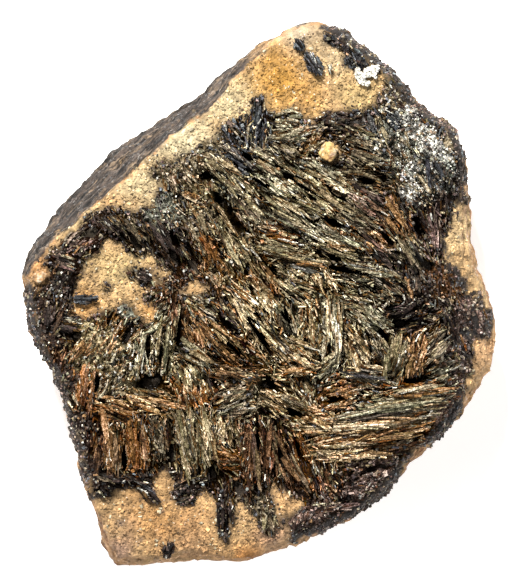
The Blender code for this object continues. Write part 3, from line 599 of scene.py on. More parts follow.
# The mat's rough surface.

PIT_DROP, GAP_DROP = 1.4, 0.55
PIT_RIM = (1.45, 0.85)  # in half lengths and half widths of the pit
GAP_RIM = (0.20, 0.46)
DRUSE_RIM = (1.15, 0.8)  # in radiuses of the druse
BUNDLE_CORE = 0.4  # the share of a bundle's length and width that is surely its own
BUNDLES_APART = 3.7  # how far the gaps' noise is moved from one bundle to the next
SPRAY_HEADINGS = np.array([spray[2] for spray in SPRAYS], float)
SOLID_SPRAY = 8.9  # a bundle longer than this is nearly free of gaps and of dark needles
SPRAY_GAPS = np.array([0.45 if spray[3] > SOLID_SPRAY else 1.0 for spray in SPRAYS])


def pit_share(x, y):
    """How deep in a pit each point lies, 0 outside and 1 at its bottom."""
    share = np.zeros(len(x))
    ragged = 1 + noise("pit outline", x, y)
    for px, py, heading, length, width in PITS:
        along, across = turned(x - px, y - py, heading)
        reach = np.hypot(along / (0.5 * length), across / (0.5 * width)) * ragged
        share = np.maximum(share, smooth_step(*PIT_RIM, reach))
    return share


def nearest_spray(x, y):
    """For each point, the number of the bundle that it lies in or is nearest to."""
    best = np.full(len(x), np.inf)
    found = np.zeros(len(x), int)
    for number, (sx, sy, heading, length, width, *_) in enumerate(SPRAYS):
        along, across = turned(x - sx, y - sy, heading)
        along = np.abs(along) - BUNDLE_CORE * length
        across = np.abs(across) - BUNDLE_CORE * width
        distance = np.hypot(np.maximum(along, 0), np.maximum(across, 0))
        closer = distance < best
        best[closer] = distance[closer]
        found[closer] = number
    return found


def gap_share(x, y):
    """Narrow gaps along the needles, 0 where there is none and 1 in the middle of one."""
    number = nearest_spray(x, y)
    along, across = turned(x, y, SPRAY_HEADINGS[number])
    gaps = noise("gaps", along, across, number * BUNDLES_APART)
    return smooth_step(*GAP_RIM, gaps) * SPRAY_GAPS[number]


def nearest_druse(x, y):
    """For each point, how far its crust is a druse instead of needles, and that druse's number."""
    share = np.zeros(len(x))
    found = np.zeros(len(x), int)
    ragged = 1 + noise("druse outline", x, y)
    for number, (px, py, radius, _, _, bare) in enumerate(DRUSES):
        near = bare * smooth_step(*DRUSE_RIM, np.hypot(x - px, y - py) * ragged / radius)
        found[near > share] = number
        share = np.maximum(share, near)
    return share, found


def druse_share(x, y):
    return nearest_druse(x, y)[0]


def rough_surface():
    """The height of the mat's surface with its hollows, as a field."""
    x, y = grid_places()
    level = mat_top.at(x, y) + noise("mat relief", x, y)
    level = level - PIT_DROP * pit_share(x, y) - GAP_DROP * gap_share(x, y)
    return Field(level.reshape(mat_heights.shape))


mat_level = rough_surface()


# Colours of the crystals.

STRAYS = ("olive", "brown", "slate", "sage", "olive", "steel")
SPRAY_COLOURS = tone_colours(spray[5] for spray in SPRAYS)
STRAY_COLOURS = tone_colours(STRAYS)
CRYSTAL_LIMITS = (0.003, 0.85)
NEARLY_BLACK = (0.32, 0.22, 0.16)  # what is left of a dark needle's red, green and blue
HUE_SPREAD = 0.035
# Painted glints: how bright the silver is, and how it is mixed with a pale one's own colour.
PAINTED_GLINT_LEVEL = (0.45, 1)
GLINT_KEPT, GLINT_GIVEN = 0.3, 0.7  # how a painted glint mixes a pale one's own colour and the silver
# Painted shade in the hollows: how much darker a pit's bottom is, and the share of that in a gap.
PIT_PAINTED_SHADE, GAP_PAINTED_SHADE = 0.96, 0.8
# How far away each kind looks for a bundle to take its colour from, and its share of strays.
WANDER = {"strand": (1.6, 0.4), "strewn": (0.6, 0.25), "druse": (1.0, 0.6), "grit": (0.8, 0.4)}
# Spread of shade, share of pale ones, which are painted glints, share of nearly black ones.
SHADES = {
    "strewn": (0.42, 0.04, 0.3),
    "grit": (0.5, 0.05, 0.2),
    "rim": (0.45, 0.04, 0.15),
    "wall": (0.45, 0.012, 0.2),
}


def colours_near(rng, x, y, kind):
    """The colour of a bundle near each point, or now and then a stray one."""
    wander, stray_share = WANDER[kind]
    count = len(x)
    number = nearest_spray(x + rng.normal(0, wander, count), y + rng.normal(0, wander, count))
    colours = SPRAY_COLOURS[number]
    stray = rng.uniform(0, 1, count) < stray_share
    colours[stray] = STRAY_COLOURS[rng.integers(0, len(STRAYS), stray.sum())]
    return colours


def shaded(rng, colours, spread, pale_share, dark_share):
    """These colours with each one's own shade, some nearly black, and some much paler, mixed
    towards silver as painted glints.
    """
    count = len(colours)
    tint = colours * rng.lognormal(0, spread, (count, 1))
    tint = tint * rng.normal(1, HUE_SPREAD, (count, 3))
    kind = rng.uniform(0, 1, count)
    pale = kind < pale_share
    # Painted glints: the pale ones are mixed towards silver.
    bright = surface(TONES["silver"]) * rng.uniform(*PAINTED_GLINT_LEVEL, (count, 1))
    tint[pale] = GLINT_KEPT * tint[pale] + GLINT_GIVEN * bright[pale]
    tint[kind > 1 - dark_share] *= NEARLY_BLACK
    return tint.clip(*CRYSTAL_LIMITS)


def patched_with_painted_shade(x, y, tint):
    """The tint with the mat's broad light and dark patches of tone, and painted shade in the pits
    and gaps.
    """
    patches = np.exp(noise("mat patches", x, y))
    # Painted shade: darker in the pits and the gaps.
    hollow_shade = 1 - PIT_PAINTED_SHADE * np.maximum(pit_share(x, y), GAP_PAINTED_SHADE * gap_share(x, y))
    return (tint * (patches * hollow_shade)[:, None]).clip(*CRYSTAL_LIMITS)


# Needles.

NEEDLE_SEED = 7919
TINY = 1e-9  # keeps a needle that points straight up from a division by 0
SIDES = 4
# Rings of a needle from its root on: place along it, share of its radius.
NEEDLE_RINGS = ((0.0, 0.75), (0.5, 1.0), (1.0, 0.5))
SPLINTER_RINGS = ((0.0, 0.9), (1.0, 0.6))
PAINTED_ROOT_SHADE, PAINTED_TIP_GAIN = 0.62, 0.5  # painted shade at the root, and the lightening that the tip has on top of it
NEEDLE_TWIST = 0.3
NEEDLE_REACH, NEEDLE_POINT = (0.7, 1.3), (0.2, 2.2)  # in radiuses of the needle
NEEDLE_PATCHES = (0.5, 1.5)
TIP_START = 0.9  # where the tip's part of a needle's square of the bake map begins
BEND_RISE = 0.5


def needle_mesh(name, needles, rings, material):
    """One mesh of many tapered, slightly bent prisms. Each row of needles is one of them."""
    count = len(needles["length"])
    rng = np.random.default_rng(len(name) * NEEDLE_SEED + count)
    share, swell = np.array(rings).T
    radius, bend = needles["radius"][:, None], needles["bow"][:, None]
    along = needles["along"] / np.linalg.norm(needles["along"], axis=1)[:, None]
    side = np.cross(along, [0.0, 0.0, 1.0])
    side /= np.linalg.norm(side, axis=1)[:, None] + TINY
    up = np.cross(side, along)
    turn = rng.uniform(0, 2 * np.pi, (count, 1)) + np.arange(SIDES) * 2 * np.pi / SIDES
    turn = turn + rng.uniform(-NEEDLE_TWIST, NEEDLE_TWIST, (count, SIDES))
    reach = radius * rng.uniform(*NEEDLE_REACH, (count, SIDES))
    spoke = (np.cos(turn) * reach * needles["flat"][:, None])[:, :, None] * side[:, None, :]
    spoke = spoke + (np.sin(turn) * reach)[:, :, None] * up[:, None, :]
    path = along * needles["length"][:, None]
    bow = side * bend + up * np.abs(bend) * BEND_RISE
    centre = (needles["middle"] - path / 2)[:, None, :] + path[:, None, :] * share[None, :, None]
    centre = centre + bow[:, None, :] * (4 * share * (1 - share))[None, :, None]
    shell = centre[:, :, None, :] + spoke[:, None, :, :] * swell[None, :, None, None]
    tip = centre[:, -1, :] + along * radius * rng.uniform(*NEEDLE_POINT, (count, 1))
    points = np.concatenate([shell.reshape(count, -1, 3), tip[:, None, :]], axis=1)
    size = points.shape[1]
    here, after = np.arange(SIDES), (np.arange(SIDES) + 1) % SIDES
    lows = SIDES * np.arange(len(rings) - 1)
    walls = [np.stack([here, after, after + SIDES, here + SIDES], 1) + low for low in lows]
    last = SIDES * (len(rings) - 1)
    caps = np.stack([last + here, last + after, np.full(SIDES, size - 1)], 1)
    first = (np.arange(count) * size)[:, None, None]
    faces = [
        (group[None] + first).reshape(-1, group.shape[1])
        for group in (np.concatenate(walls), caps, here[::-1][None])
    ]
    # Painted shade: each needle is darker at its root and lighter towards its tip, with random
    # patches of tone.
    shade = PAINTED_ROOT_SHADE + PAINTED_TIP_GAIN * np.append(np.repeat(share, SIDES), 1.0)
    shade = shade * rng.uniform(*NEEDLE_PATCHES, (count, size))
    tint = (needles["tint"][:, None, :] * shade[:, :, None]).clip(*TINT_LIMITS)
    spots = [(k / (SIDES - 1), s * TIP_START) for s in share for k in range(SIDES)] + [(0.5, 1.0)]
    points = points.reshape(-1, 3).clip(BOX_LOW, BOX_HIGH)
    cells = cell_map(count, np.array(spots))
    return add_mesh(name, points, faces, material, tint.reshape(-1, 3), cells)


class Batch:
    """Rows of needles, gathered before they are made into a mesh."""

    COLUMNS = ("middle", "along", "length", "radius", "flat", "bow", "tint")

    def __init__(self):
        self.parts = {column: [] for column in self.COLUMNS}

    def add(self, keep, **columns):
        for column in self.COLUMNS:
            self.parts[column].append(columns[column][keep])

    def rows(self):
        return {column: np.concatenate(parts) for column, parts in self.parts.items()}


EDGE_REACH = 0.2  # how far a needle may reach over the mat's edge
CUT_BACK = 0.72  # what is left of a needle's length when it reaches further
PULL_IN = 0.28  # and how far it then moves in, in half lengths
SHORTEST = 0.2
PIT_LOSS, GAP_LOSS = 1.05, 0.55
PIT_PROBE = 0.75  # a needle is looked at for pits this far out from its middle, in half lengths
BED_REACH, BED_MIDDLE = -0.2, 0.1  # how far inside the bed a needle's ends and its middle lie
RIM_THICKNESS, RIM_SLOPE = 0.6, 1.2
RIM_LIFT = 0.4
RIM_WIDTH, RIM_RISE = 0.8, 0.8  # this near to the bed's edge no end stands higher over the rock
STEP_LIMIT = 0.4  # the surface under a needle is level to within this
STEEPEST_NEEDLE = 0.3
FLATNESS = (0.8, 1.9)
BEND = 0.02


def top_at(x, y):
    """The mat's height, which comes down to the rock at the mat's edge."""
    thin = RIM_THICKNESS + RIM_SLOPE * bed_edge.at(x, y).clip(0)
    return np.minimum(mat_level.at(x, y), bed_level.at(x, y) + thin)


def at_ends(value, x, y, half):
    """What a function of the plan says at the free ends and at the roots of needles."""
    return value(x + half[:, 0], y + half[:, 1]), value(x - half[:, 0], y - half[:, 1])


def lay_needles(rng, batch, x, y, heading, length, height, tint, radius, tilt):
    """Adds needles whose middles are at x, y, laid on the mat's surface at this height over it."""
    turn = np.radians(heading)
    step = np.stack([np.cos(turn), np.sin(turn)], 1)
    half = 0.5 * length[:, None] * step
    for _ in range(2):
        over, under = (edge < -EDGE_REACH for edge in at_ends(mat_edge.at, x, y, half))
        cut = np.where(over | under, CUT_BACK, 1.0)
        shift = (PULL_IN * (under.astype(float) - over.astype(float)))[:, None] * half
        x, y = x + shift[:, 0], y + shift[:, 1]
        length = length * cut
        half = half * cut[:, None]
    keep = (np.minimum(*at_ends(mat_edge.at, x, y, half)) > -EDGE_REACH) & (length > SHORTEST)
    chance = rng.uniform(0, 1, len(x))
    ends = np.maximum(*at_ends(pit_share, x, y, PIT_PROBE * half))
    pit = np.maximum(pit_share(x, y), ends)
    keep = keep & (chance > PIT_LOSS * pit) & (chance > GAP_LOSS * gap_share(x, y))
    keep = keep & (chance < 1 - druse_share(x, y))
    clear = np.minimum(*at_ends(bed_edge.at, x, y, half))
    keep = keep & (clear > BED_REACH) & (bed_edge.at(x, y) > BED_MIDDLE)
    middle = top_at(x, y)
    low, high = middle - STEP_LIMIT, middle + STEP_LIMIT
    front, back = (top.clip(low, high) for top in at_ends(top_at, x, y, half))
    rise = (front - back) / np.maximum(length, SHORTEST / 2)
    rise = rise.clip(-STEEPEST_NEEDLE, STEEPEST_NEEDLE)
    rise = rise + np.tan(np.radians(tilt))
    height = np.minimum(height, RIM_LIFT * bed_edge.at(x, y).clip(0))
    level = 0.5 * middle + 0.25 * (front + back) + height
    swing = 0.5 * length * rise
    floor_ahead, floor_behind = at_ends(bed_level.at, x, y, half)
    above = np.maximum(level + swing - floor_ahead, level - swing - floor_behind)
    keep = keep & ((clear > RIM_WIDTH) | (above < RIM_RISE))
    count = len(x)
    batch.add(
        keep,
        middle=np.stack([x, y, level], 1),
        along=np.stack([step[:, 0], step[:, 1], rise], 1),
        length=length,
        radius=rng.uniform(*radius, count),
        flat=rng.uniform(*FLATNESS, count),
        bow=rng.normal(0, BEND, count) * length,
        tint=patched_with_painted_shade(x, y, tint),
    )


STRAND_PITCH, STRAND_PLACE = 0.5, (0.1, 0.9)  # and where a strand may lie in its own share
STRANDS_OVERLAP = 1.35
STRAND_LENGTH = (0.45, 0.85)  # in lengths of the bundle
STRAND_SLIDE = 0.22
STRAND_TURN, STRAND_FAN = 5, 7  # degrees
STRAND_ARCH, STRAND_UNEVEN = 0.3, 0.42
STRAND_MIX = (0.05, 0.85)
STRAND_SHADE, NEEDLE_SHADE = 0.24, 0.27
PALE_TONES = ("sage", "straw", "pewter", "olive")
PALE_SHARES = (0.02, 0.035)  # of pale needles, which are painted glints, in other bundles, and in those of pale tones
DARK_SHARES = (0.2, 0.08)  # of dark needles in other bundles, and in solid ones
LONG_SPRAY = 5.5
COMBED, TOUSLED = 3.0, 8.0  # spread of the needles' headings in long and in short bundles
# What a strand is made of: number, radii, depth, spread to the sides, reach along it, lengths,
# height over that depth, brightness, spread of the tilt.
STRAND_CORES = (2, (0.13, 0.21), 0.34, 0.06, 0.8, (0.45, 0.8), (-0.1, 0.05), 0.75, 3)
STRAND_NEEDLES = (18, (0.03, 0.10), 0.26, 0.13, 1.0, (0.15, 0.6), (-0.22, 0.1), 1.0, 5)
NEEDLE_TILT = 4
NEEDLE_SLIDE = 0.42


def lay_spray(rng, batch, spray):
    """A bundle is strands side by side, each some needles grown together on thicker cores."""
    x, y, heading, length, width, tone, lift = spray
    strands = max(2, round(STRANDS_OVERLAP * width / STRAND_PITCH))
    side = (np.arange(strands) + rng.uniform(*STRAND_PLACE, strands)) / strands - 0.5
    slide = rng.uniform(-STRAND_SLIDE, STRAND_SLIDE, strands) * length
    strand_length = length * rng.uniform(*STRAND_LENGTH, strands)
    strand_turn = heading + rng.normal(0, STRAND_TURN, strands) + side * STRAND_FAN
    arch = STRAND_ARCH * (0.5 - np.abs(2 * side))
    strand_level = lift + arch + rng.normal(0, STRAND_UNEVEN, strands)
    own = surface(TONES[tone])
    mixed = colours_near(rng, *beside(x, y, heading, slide, side * width).T, "strand")
    strand_colour = own + (mixed - own) * rng.uniform(*STRAND_MIX, (strands, 1))
    strand_colour = strand_colour * rng.lognormal(0, STRAND_SHADE, (strands, 1))
    # Painted glints: the share of pale needles.
    pale = PALE_SHARES[tone in PALE_TONES]
    dark = DARK_SHARES[length > SOLID_SPRAY]
    loose = COMBED if length > LONG_SPRAY else TOUSLED
    for kind in (STRAND_CORES, STRAND_NEEDLES):
        number, radii, depth, spread, reach, lengths, heights, brightness, toss = kind
        kinds = (0, 0) if kind is STRAND_CORES else (pale, dark)
        which = np.repeat(np.arange(strands), number)
        count = len(which)
        offset = side[which] * width + rng.normal(0, spread, count)
        slid = rng.uniform(-NEEDLE_SLIDE, NEEDLE_SLIDE, count) * strand_length[which] * reach
        place = beside(x, y, heading, slide[which] + slid, offset)
        share = rng.uniform(*lengths, count)
        colours = shaded(rng, strand_colour[which], NEEDLE_SHADE, *kinds) * brightness
        height = strand_level[which] - depth + rng.uniform(*heights, count)
        needle_turn = strand_turn[which] + rng.normal(0, loose, count)
        tilt = rng.normal(NEEDLE_TILT, toss, count)
        own_length = strand_length[which] * share
        lay_needles(rng, batch, *place.T, needle_turn, own_length, height, colours, radii, tilt)


def random_places(rng, spacing):
    """Points spread over the mat, one in each square of the spacing, moved at random inside it."""
    x, y = (values.ravel() for values in box_grid(spacing))
    x = x + rng.uniform(0, spacing, len(x))
    y = y + rng.uniform(0, spacing, len(y))
    return x, y


# Needles strewn everywhere, headed much like the nearest bundle.
# name: spacing, spread of heading, lengths, radii, height and its spread, tilt and its spread,
# brightness
STREWN = {
    # The needles between lie deep under the others, and their brightness of 0.3 is painted shade.
    "between": (0.58, 12, (0.9, 2.6), (0.05, 0.12), -0.8, 0.16, 6, 9, 0.3),
    "splinters": (0.37, 20, (0.3, 1.1), (0.035, 0.10), -0.22, 0.26, 4, 18, 0.95),
}
STREWN_EDGE = 0.05


def lay_strewn(rng, batch, kind):
    spacing, spread, lengths, radii, height, uneven, tilt, toss, brightness = STREWN[kind]
    x, y = random_places(rng, spacing)
    inside = mat_edge.at(x, y) > STREWN_EDGE
    x, y = x[inside], y[inside]
    count = len(x)
    tint = shaded(rng, colours_near(rng, x, y, "strewn"), *SHADES["strewn"]) * brightness
    heading = SPRAY_HEADINGS[nearest_spray(x, y)] + rng.normal(0, spread, count)
    length = rng.uniform(*lengths, count)
    height = height + rng.normal(0, uneven, count)
    tilt = rng.normal(tilt, toss, count)
    lay_needles(rng, batch, x, y, heading, length, height, tint, radii, tilt)


# The mat's pieces are kept small by splitting them along these lines.
SPLIT_X, SPLIT_Y = 1.5, 1.0
QUARTERS = {
    "upper_left": lambda x, y: (x < SPLIT_X) & (y >= SPLIT_Y),
    "upper_right": lambda x, y: (x >= SPLIT_X) & (y >= SPLIT_Y),
    "lower_left": lambda x, y: (x < SPLIT_X) & (y < SPLIT_Y),
    "lower_right": lambda x, y: (x >= SPLIT_X) & (y < SPLIT_Y),
}
HALVES = {
    "west": lambda x, y: x < 0.0,
    "east": lambda x, y: x >= 0.0,
}


def mat_piece(piece):
    stands_for(piece, "needle_mat")


def split_needles(prefix, needles, parts, rings, material):
    for name, test in parts.items():
        rows = test(needles["middle"][:, 0], needles["middle"][:, 1])
        share = {column: values[rows] for column, values in needles.items()}
        mat_piece(needle_mesh(prefix + "_" + name, share, rings, material))


def build_needles(material, deep_material):
    rng = np.random.default_rng(SEEDS["needles"])
    top, between, splinters = Batch(), Batch(), Batch()
    for spray in SPRAYS:
        lay_spray(rng, top, spray)
    lay_strewn(rng, between, "between")
    lay_strewn(rng, splinters, "splinters")
    split_needles("needles", top.rows(), QUARTERS, NEEDLE_RINGS, material)
    split_needles("splinters", splinters.rows(), HALVES, SPLINTER_RINGS, material)
    mat_piece(needle_mesh("needles_between", between.rows(), NEEDLE_RINGS, deep_material))


# The crust that the needles stand in: dark crystal matter, made near black as painted shade between
# the needles.

CRUST_STEP = 0.32
CRUST_OVERHANG = 0.3
CRUST_SINK = 0.12
CRUST_RISE, DRUSE_RISE = 0.4, 0.3  # shares of the way from the rock up to the mat's top
CRUST_RIM, CRUST_ROUGH_RIM = (-0.3, 1.2), (-0.1, 0.8)
# Painted shade: the crust keeps only this small share of the bundles' tones and of umber, so it is
# near black.
CRUST_SPRAY_SHADE, CRUST_UMBER_SHADE = 0.03, 0.06
CRUST_DRUSE_SHADE = 0.8
# Painted shade: how much darker the crust is at the bottom of a pit.
CRUST_PIT_PAINTED_SHADE = 0.9


def build_crust(material):
    """A dark rough sheet a little below the needles, closed down to the rock at its edge. Its
    near-black colour is painted shade between the needles, with the druses' own colours mixed in
    where they stand.
    """
    gx, gy = box_grid(CRUST_STEP)
    inside = bed_edge.at(gx.ravel(), gy.ravel()).reshape(gx.shape) > -CRUST_OVERHANG
    number = np.full(gx.shape, -1)
    number[inside] = np.arange(inside.sum())
    x, y = gx[inside], gy[inside]
    x = x + noise("crust x", x, y)
    y = y + noise("crust y", x, y)
    edge = np.minimum(mat_edge.at(x, y), bed_edge.at(x, y))
    druse, patch = nearest_druse(x, y)
    floor, roof = bed_level.at(x, y), top_at(x, y)
    share = (CRUST_RISE + DRUSE_RISE * druse) * smooth_step(*CRUST_RIM, edge)
    rough = noise("crust relief", x, y) + noise("crust grain", x, y)
    level = floor - CRUST_SINK + (roof - floor) * share
    level = level + rough * smooth_step(*CRUST_ROUGH_RIM, edge)
    corners = [number[:-1, :-1], number[:-1, 1:], number[1:, 1:], number[1:, :-1]]
    whole = np.all([corner >= 0 for corner in corners], axis=0)
    faces = np.stack([corner[whole] for corner in corners], 1)
    # Painted shade: near black under the needles.
    dark = SPRAY_COLOURS[nearest_spray(x, y)] * CRUST_SPRAY_SHADE
    dark = dark + surface(TONES["umber"]) * CRUST_UMBER_SHADE
    sugar = tone_colours(druse_patch[3] for druse_patch in DRUSES)[patch]
    sugar = sugar * np.exp(noise("druse shade", x, y))[:, None]
    tint = dark + (sugar - dark) * CRUST_DRUSE_SHADE * druse[:, None]
    # Painted shade in the pits.
    tint = tint * (1 - CRUST_PIT_PAINTED_SHADE * pit_share(x, y))[:, None]
    mat_piece(add_mesh("mat_crust", np.stack([x, y, level], 1), [faces], material, tint))


# Small blocky crystals and grains.

CUBE_CORNERS = np.array([(x, y, z) for x in (-1, 1) for y in (-1, 1) for z in (-1, 1)], float)
CUBE_FACES = np.array(
    [(0, 1, 3, 2), (4, 6, 7, 5), (0, 4, 5, 1), (2, 3, 7, 6), (0, 2, 6, 4), (1, 5, 7, 3)]
)
CUBE_SPOTS = np.array(
    [(0.1, 0.1), (0.4, 0.1), (0.1, 0.4), (0.4, 0.4), (0.9, 0.1), (0.9, 0.9), (0.1, 0.9), (0.6, 0.6)]
)
GRAIN_SEED = 104729
GRAIN_PATCHES = (0.65, 1.35)
GRAIN_UNEVEN, GRAIN_STRETCH = 0.3, (0.45, 1.35)


def random_turns(rng, count):
    """Rotation matrices, spread evenly over all turns."""
    q = rng.normal(size=(count, 4))
    w, x, y, z = (q / np.linalg.norm(q, axis=1)[:, None]).T
    rows = [
        [1 - 2 * (y * y + z * z), 2 * (x * y - z * w), 2 * (x * z + y * w)],
        [2 * (x * y + z * w), 1 - 2 * (x * x + z * z), 2 * (y * z - x * w)],
        [2 * (x * z - y * w), 2 * (y * z + x * w), 1 - 2 * (x * x + y * y)],
    ]
    return np.array(rows).transpose(2, 0, 1)


def grain_mesh(
    name, places, sizes, tint, material, uneven=GRAIN_UNEVEN, stretch=GRAIN_STRETCH
):
    """One mesh of many small blocks, each turned and shaped at random."""
    count = len(places)
    rng = np.random.default_rng(len(name) * GRAIN_SEED + count)
    shape = CUBE_CORNERS[None] * rng.uniform(*stretch, (count, 1, 3))
    shape = shape + rng.uniform(-uneven, uneven, (count, 8, 3))
    turned_shape = np.einsum("nij,nkj->nki", random_turns(rng, count), shape)
    points = places[:, None, :] + turned_shape * (sizes[:, None, None] / 2)
    points = points.reshape(-1, 3).clip(BOX_LOW, BOX_HIGH)
    faces = (CUBE_FACES[None] + (np.arange(count) * 8)[:, None, None]).reshape(-1, 4)
    shade = rng.uniform(*GRAIN_PATCHES, (count, 8, 1))
    tint = (tint[:, None, :] * shade).reshape(-1, 3).clip(*TINT_LIMITS)
    return add_mesh(name, points, [faces], material, tint, cell_map(count, CUBE_SPOTS))


DRUSE_DENSITY = 21.0
PALE_CROWDING = 1.4
DRUSE_SPREAD, DRUSE_CROWDING = 1.15, 0.6
DRUSE_MIX = (0, 0.5)  # how much of a neighbour's colour a grain takes
DRUSE_SHADE, DRUSE_DARK = 0.5, 0.2
GLINT_STEPS, GLINT_GAIN = (-0.15, 0.3), 1.9
PALE_GRAIN = 0.3  # grains brighter than this are smaller
GRIT_SPACING, RIM_SPACING = 0.5, 0.34
GRIT_STEPS = (-0.1, 0.6)
GRIT_SHARE, GRIT_CROWDING = 0.25, 0.6
RIM_REACH = (0.1, 1.5)
RIM_TONES = ("black", "plum", "steel", "black", "slate")
DRUSE_SIZES, DRUSE_SHRINK, PALE_SHRINK = (0.13, 0.36), (0.6, 1.1), 0.8
DRUSE_EDGE, DRUSE_BED = -0.05, -0.1
GAP_BARE = 0.6  # the share of the grains that is missing in the middle of a gap
DRUSE_LEVEL_RIM = (-0.6, 1.2)
GRAIN_SINK, DRUSE_SINK = 0.16, 0.15
DRUSE_UNEVEN = (-0.28, 0.1)


def rim_colours(rng, count):
    return tone_colours(RIM_TONES)[rng.integers(0, len(RIM_TONES), count)]


def druse_places(rng):
    """Places and colours of the grains in the patches, strewn over the mat and along its rim."""
    places, tints = [], []
    for x, y, radius, tone, pale, _ in DRUSES:
        count = int(DRUSE_DENSITY * radius * radius * (1 + PALE_CROWDING * pale))
        reach = radius * rng.uniform(0, 1, count) ** DRUSE_CROWDING * DRUSE_SPREAD
        turn = rng.uniform(0, 2 * np.pi, count)
        px, py = x + reach * np.cos(turn), y + reach * np.sin(turn)
        # Painted glints: more pale grains where the glints noise is high.
        glints = GLINT_GAIN * pale * smooth_step(*GLINT_STEPS, noise("glints", px, py))
        own = surface(TONES[tone])
        mixed = colours_near(rng, px, py, "druse")
        colours = own + (mixed - own) * rng.uniform(*DRUSE_MIX, (count, 1))
        places.append(np.stack([px, py], 1))
        tints.append(shaded(rng, colours, DRUSE_SHADE, glints, DRUSE_DARK))
    x, y = random_places(rng, GRIT_SPACING)
    clumps = smooth_step(*GRIT_STEPS, noise("grit clumps", x, y))
    grit = rng.uniform(0, 1, len(x)) < GRIT_SHARE + GRIT_CROWDING * clumps
    places.append(np.stack([x[grit], y[grit]], 1))
    tints.append(shaded(rng, colours_near(rng, x[grit], y[grit], "grit"), *SHADES["grit"]))
    x, y = random_places(rng, RIM_SPACING)
    rim = mat_edge.at(x, y) < rng.uniform(*RIM_REACH, len(x))
    places.append(np.stack([x[rim], y[rim]], 1))
    tints.append(shaded(rng, rim_colours(rng, rim.sum()), *SHADES["rim"]))
    return np.concatenate(places), np.concatenate(tints)


def build_druses(material):
    rng = np.random.default_rng(SEEDS["druses"])
    places, tint = druse_places(rng)
    x, y = places.T
    gaps = GAP_BARE * gap_share(x, y) * (1 - druse_share(x, y))
    chance = rng.uniform(0, 1, len(x))
    keep = (mat_edge.at(x, y) > DRUSE_EDGE) & (bed_edge.at(x, y) > DRUSE_BED)
    keep = keep & (chance > np.maximum(pit_share(x, y), gaps))
    x, y, tint = x[keep], y[keep], tint[keep]
    sizes = rng.uniform(*DRUSE_SIZES, len(x)) * rng.uniform(*DRUSE_SHRINK, len(x))
    sizes = sizes * np.where(tint.mean(1) > PALE_GRAIN, PALE_SHRINK, 1.0)
    edge = np.minimum(mat_edge.at(x, y), bed_edge.at(x, y))
    roof, floor = top_at(x, y), bed_level.at(x, y)
    level = floor + (roof - floor) * smooth_step(*DRUSE_LEVEL_RIM, edge) - GRAIN_SINK
    level = level + rng.uniform(*DRUSE_UNEVEN, len(x))
    points = np.column_stack([x, y, level - DRUSE_SINK * druse_share(x, y)])
    mat_piece(grain_mesh("druse_crystals", points, sizes, patched_with_painted_shade(x, y, tint), material))


def ground_at(tree, x, y):
    """Where the rock lies under each point, and which way it faces there, with misses left out."""
    hits = [tree.ray_cast(Vector((px, py, RAY_START)), DOWN)[:2] for px, py in zip(x, y)]
    found = np.array([hit is not None for hit, _ in hits])
    places = np.array([hit for hit, _ in hits if hit is not None])
    normals = np.array([normal for hit, normal in hits if hit is not None])
    return places, normals, found


WALL_GRAINS = 6500
WALL_DEPTH, WALL_FADE = 0.8, 0.4  # how far down the crust hangs, and over what it fades out
WALL_SPREAD, WALL_EDGE = 0.5, (-0.15, 0.15)
WALL_SIZES, WALL_SCATTER = (0.14, 0.38), 0.15
WALL_FACING = (0.97, 0.9)  # a surface whose normal rises less than this is a side
WALL_OPEN = (0.7, 0.1)
# Where the rim stays bare of crust: x, y, radius.
BARE_RIMS = [(27.2, -9.5, 3.0), (19.0, -19.8, 1.9)]
BARE_STRENGTH = 1.6


def wall_share(points, normals):
    """How far the dark crust covers the slab's steep sides, down to a ragged edge."""
    x, y, z = points.T
    edge = mat_edge.at(x, y) + WALL_SPREAD + noise("wall edge", x, y, z)
    for cx, cy, radius in BARE_RIMS:
        edge = edge - BARE_STRENGTH * np.exp(-((np.hypot(x - cx, y - cy) / radius) ** 2))
    depth = rock.at(x, y) - z + noise("wall hem", x, y, z)
    shallow = smooth_step(WALL_DEPTH + WALL_FADE, WALL_DEPTH, depth)
    return smooth_step(*WALL_EDGE, edge) * shallow * smooth_step(*WALL_FACING, normals[:, 2])


def build_wall_grains(slab, material):
    """Small dark crystals on the crust that hangs down the slab's steep sides."""
    rng = np.random.default_rng(SEEDS["wall"])
    faces = slab.data.polygons
    centres, normals = read_all(faces, "center", 3) / MM, read_all(faces, "normal", 3)
    open_to_sight = smooth_step(*WALL_OPEN, bed_edge.at(centres[:, 0], centres[:, 1]))
    chance = read_all(faces, "area", 1)[:, 0] * wall_share(centres, normals) ** 2 * open_to_sight
    chosen = rng.choice(len(centres), WALL_GRAINS, p=chance / chance.sum())
    scatter = rng.uniform(-WALL_SCATTER, WALL_SCATTER, (WALL_GRAINS, 3))
    places = centres[chosen] + scatter - GRAIN_SINK * normals[chosen]
    tint = shaded(rng, rim_colours(rng, WALL_GRAINS), *SHADES["wall"])
    sizes = rng.uniform(*WALL_SIZES, WALL_GRAINS)
    mat_piece(grain_mesh("wall_crystals", places, sizes, tint, material))


# The single tufts and spots on the bare rock.

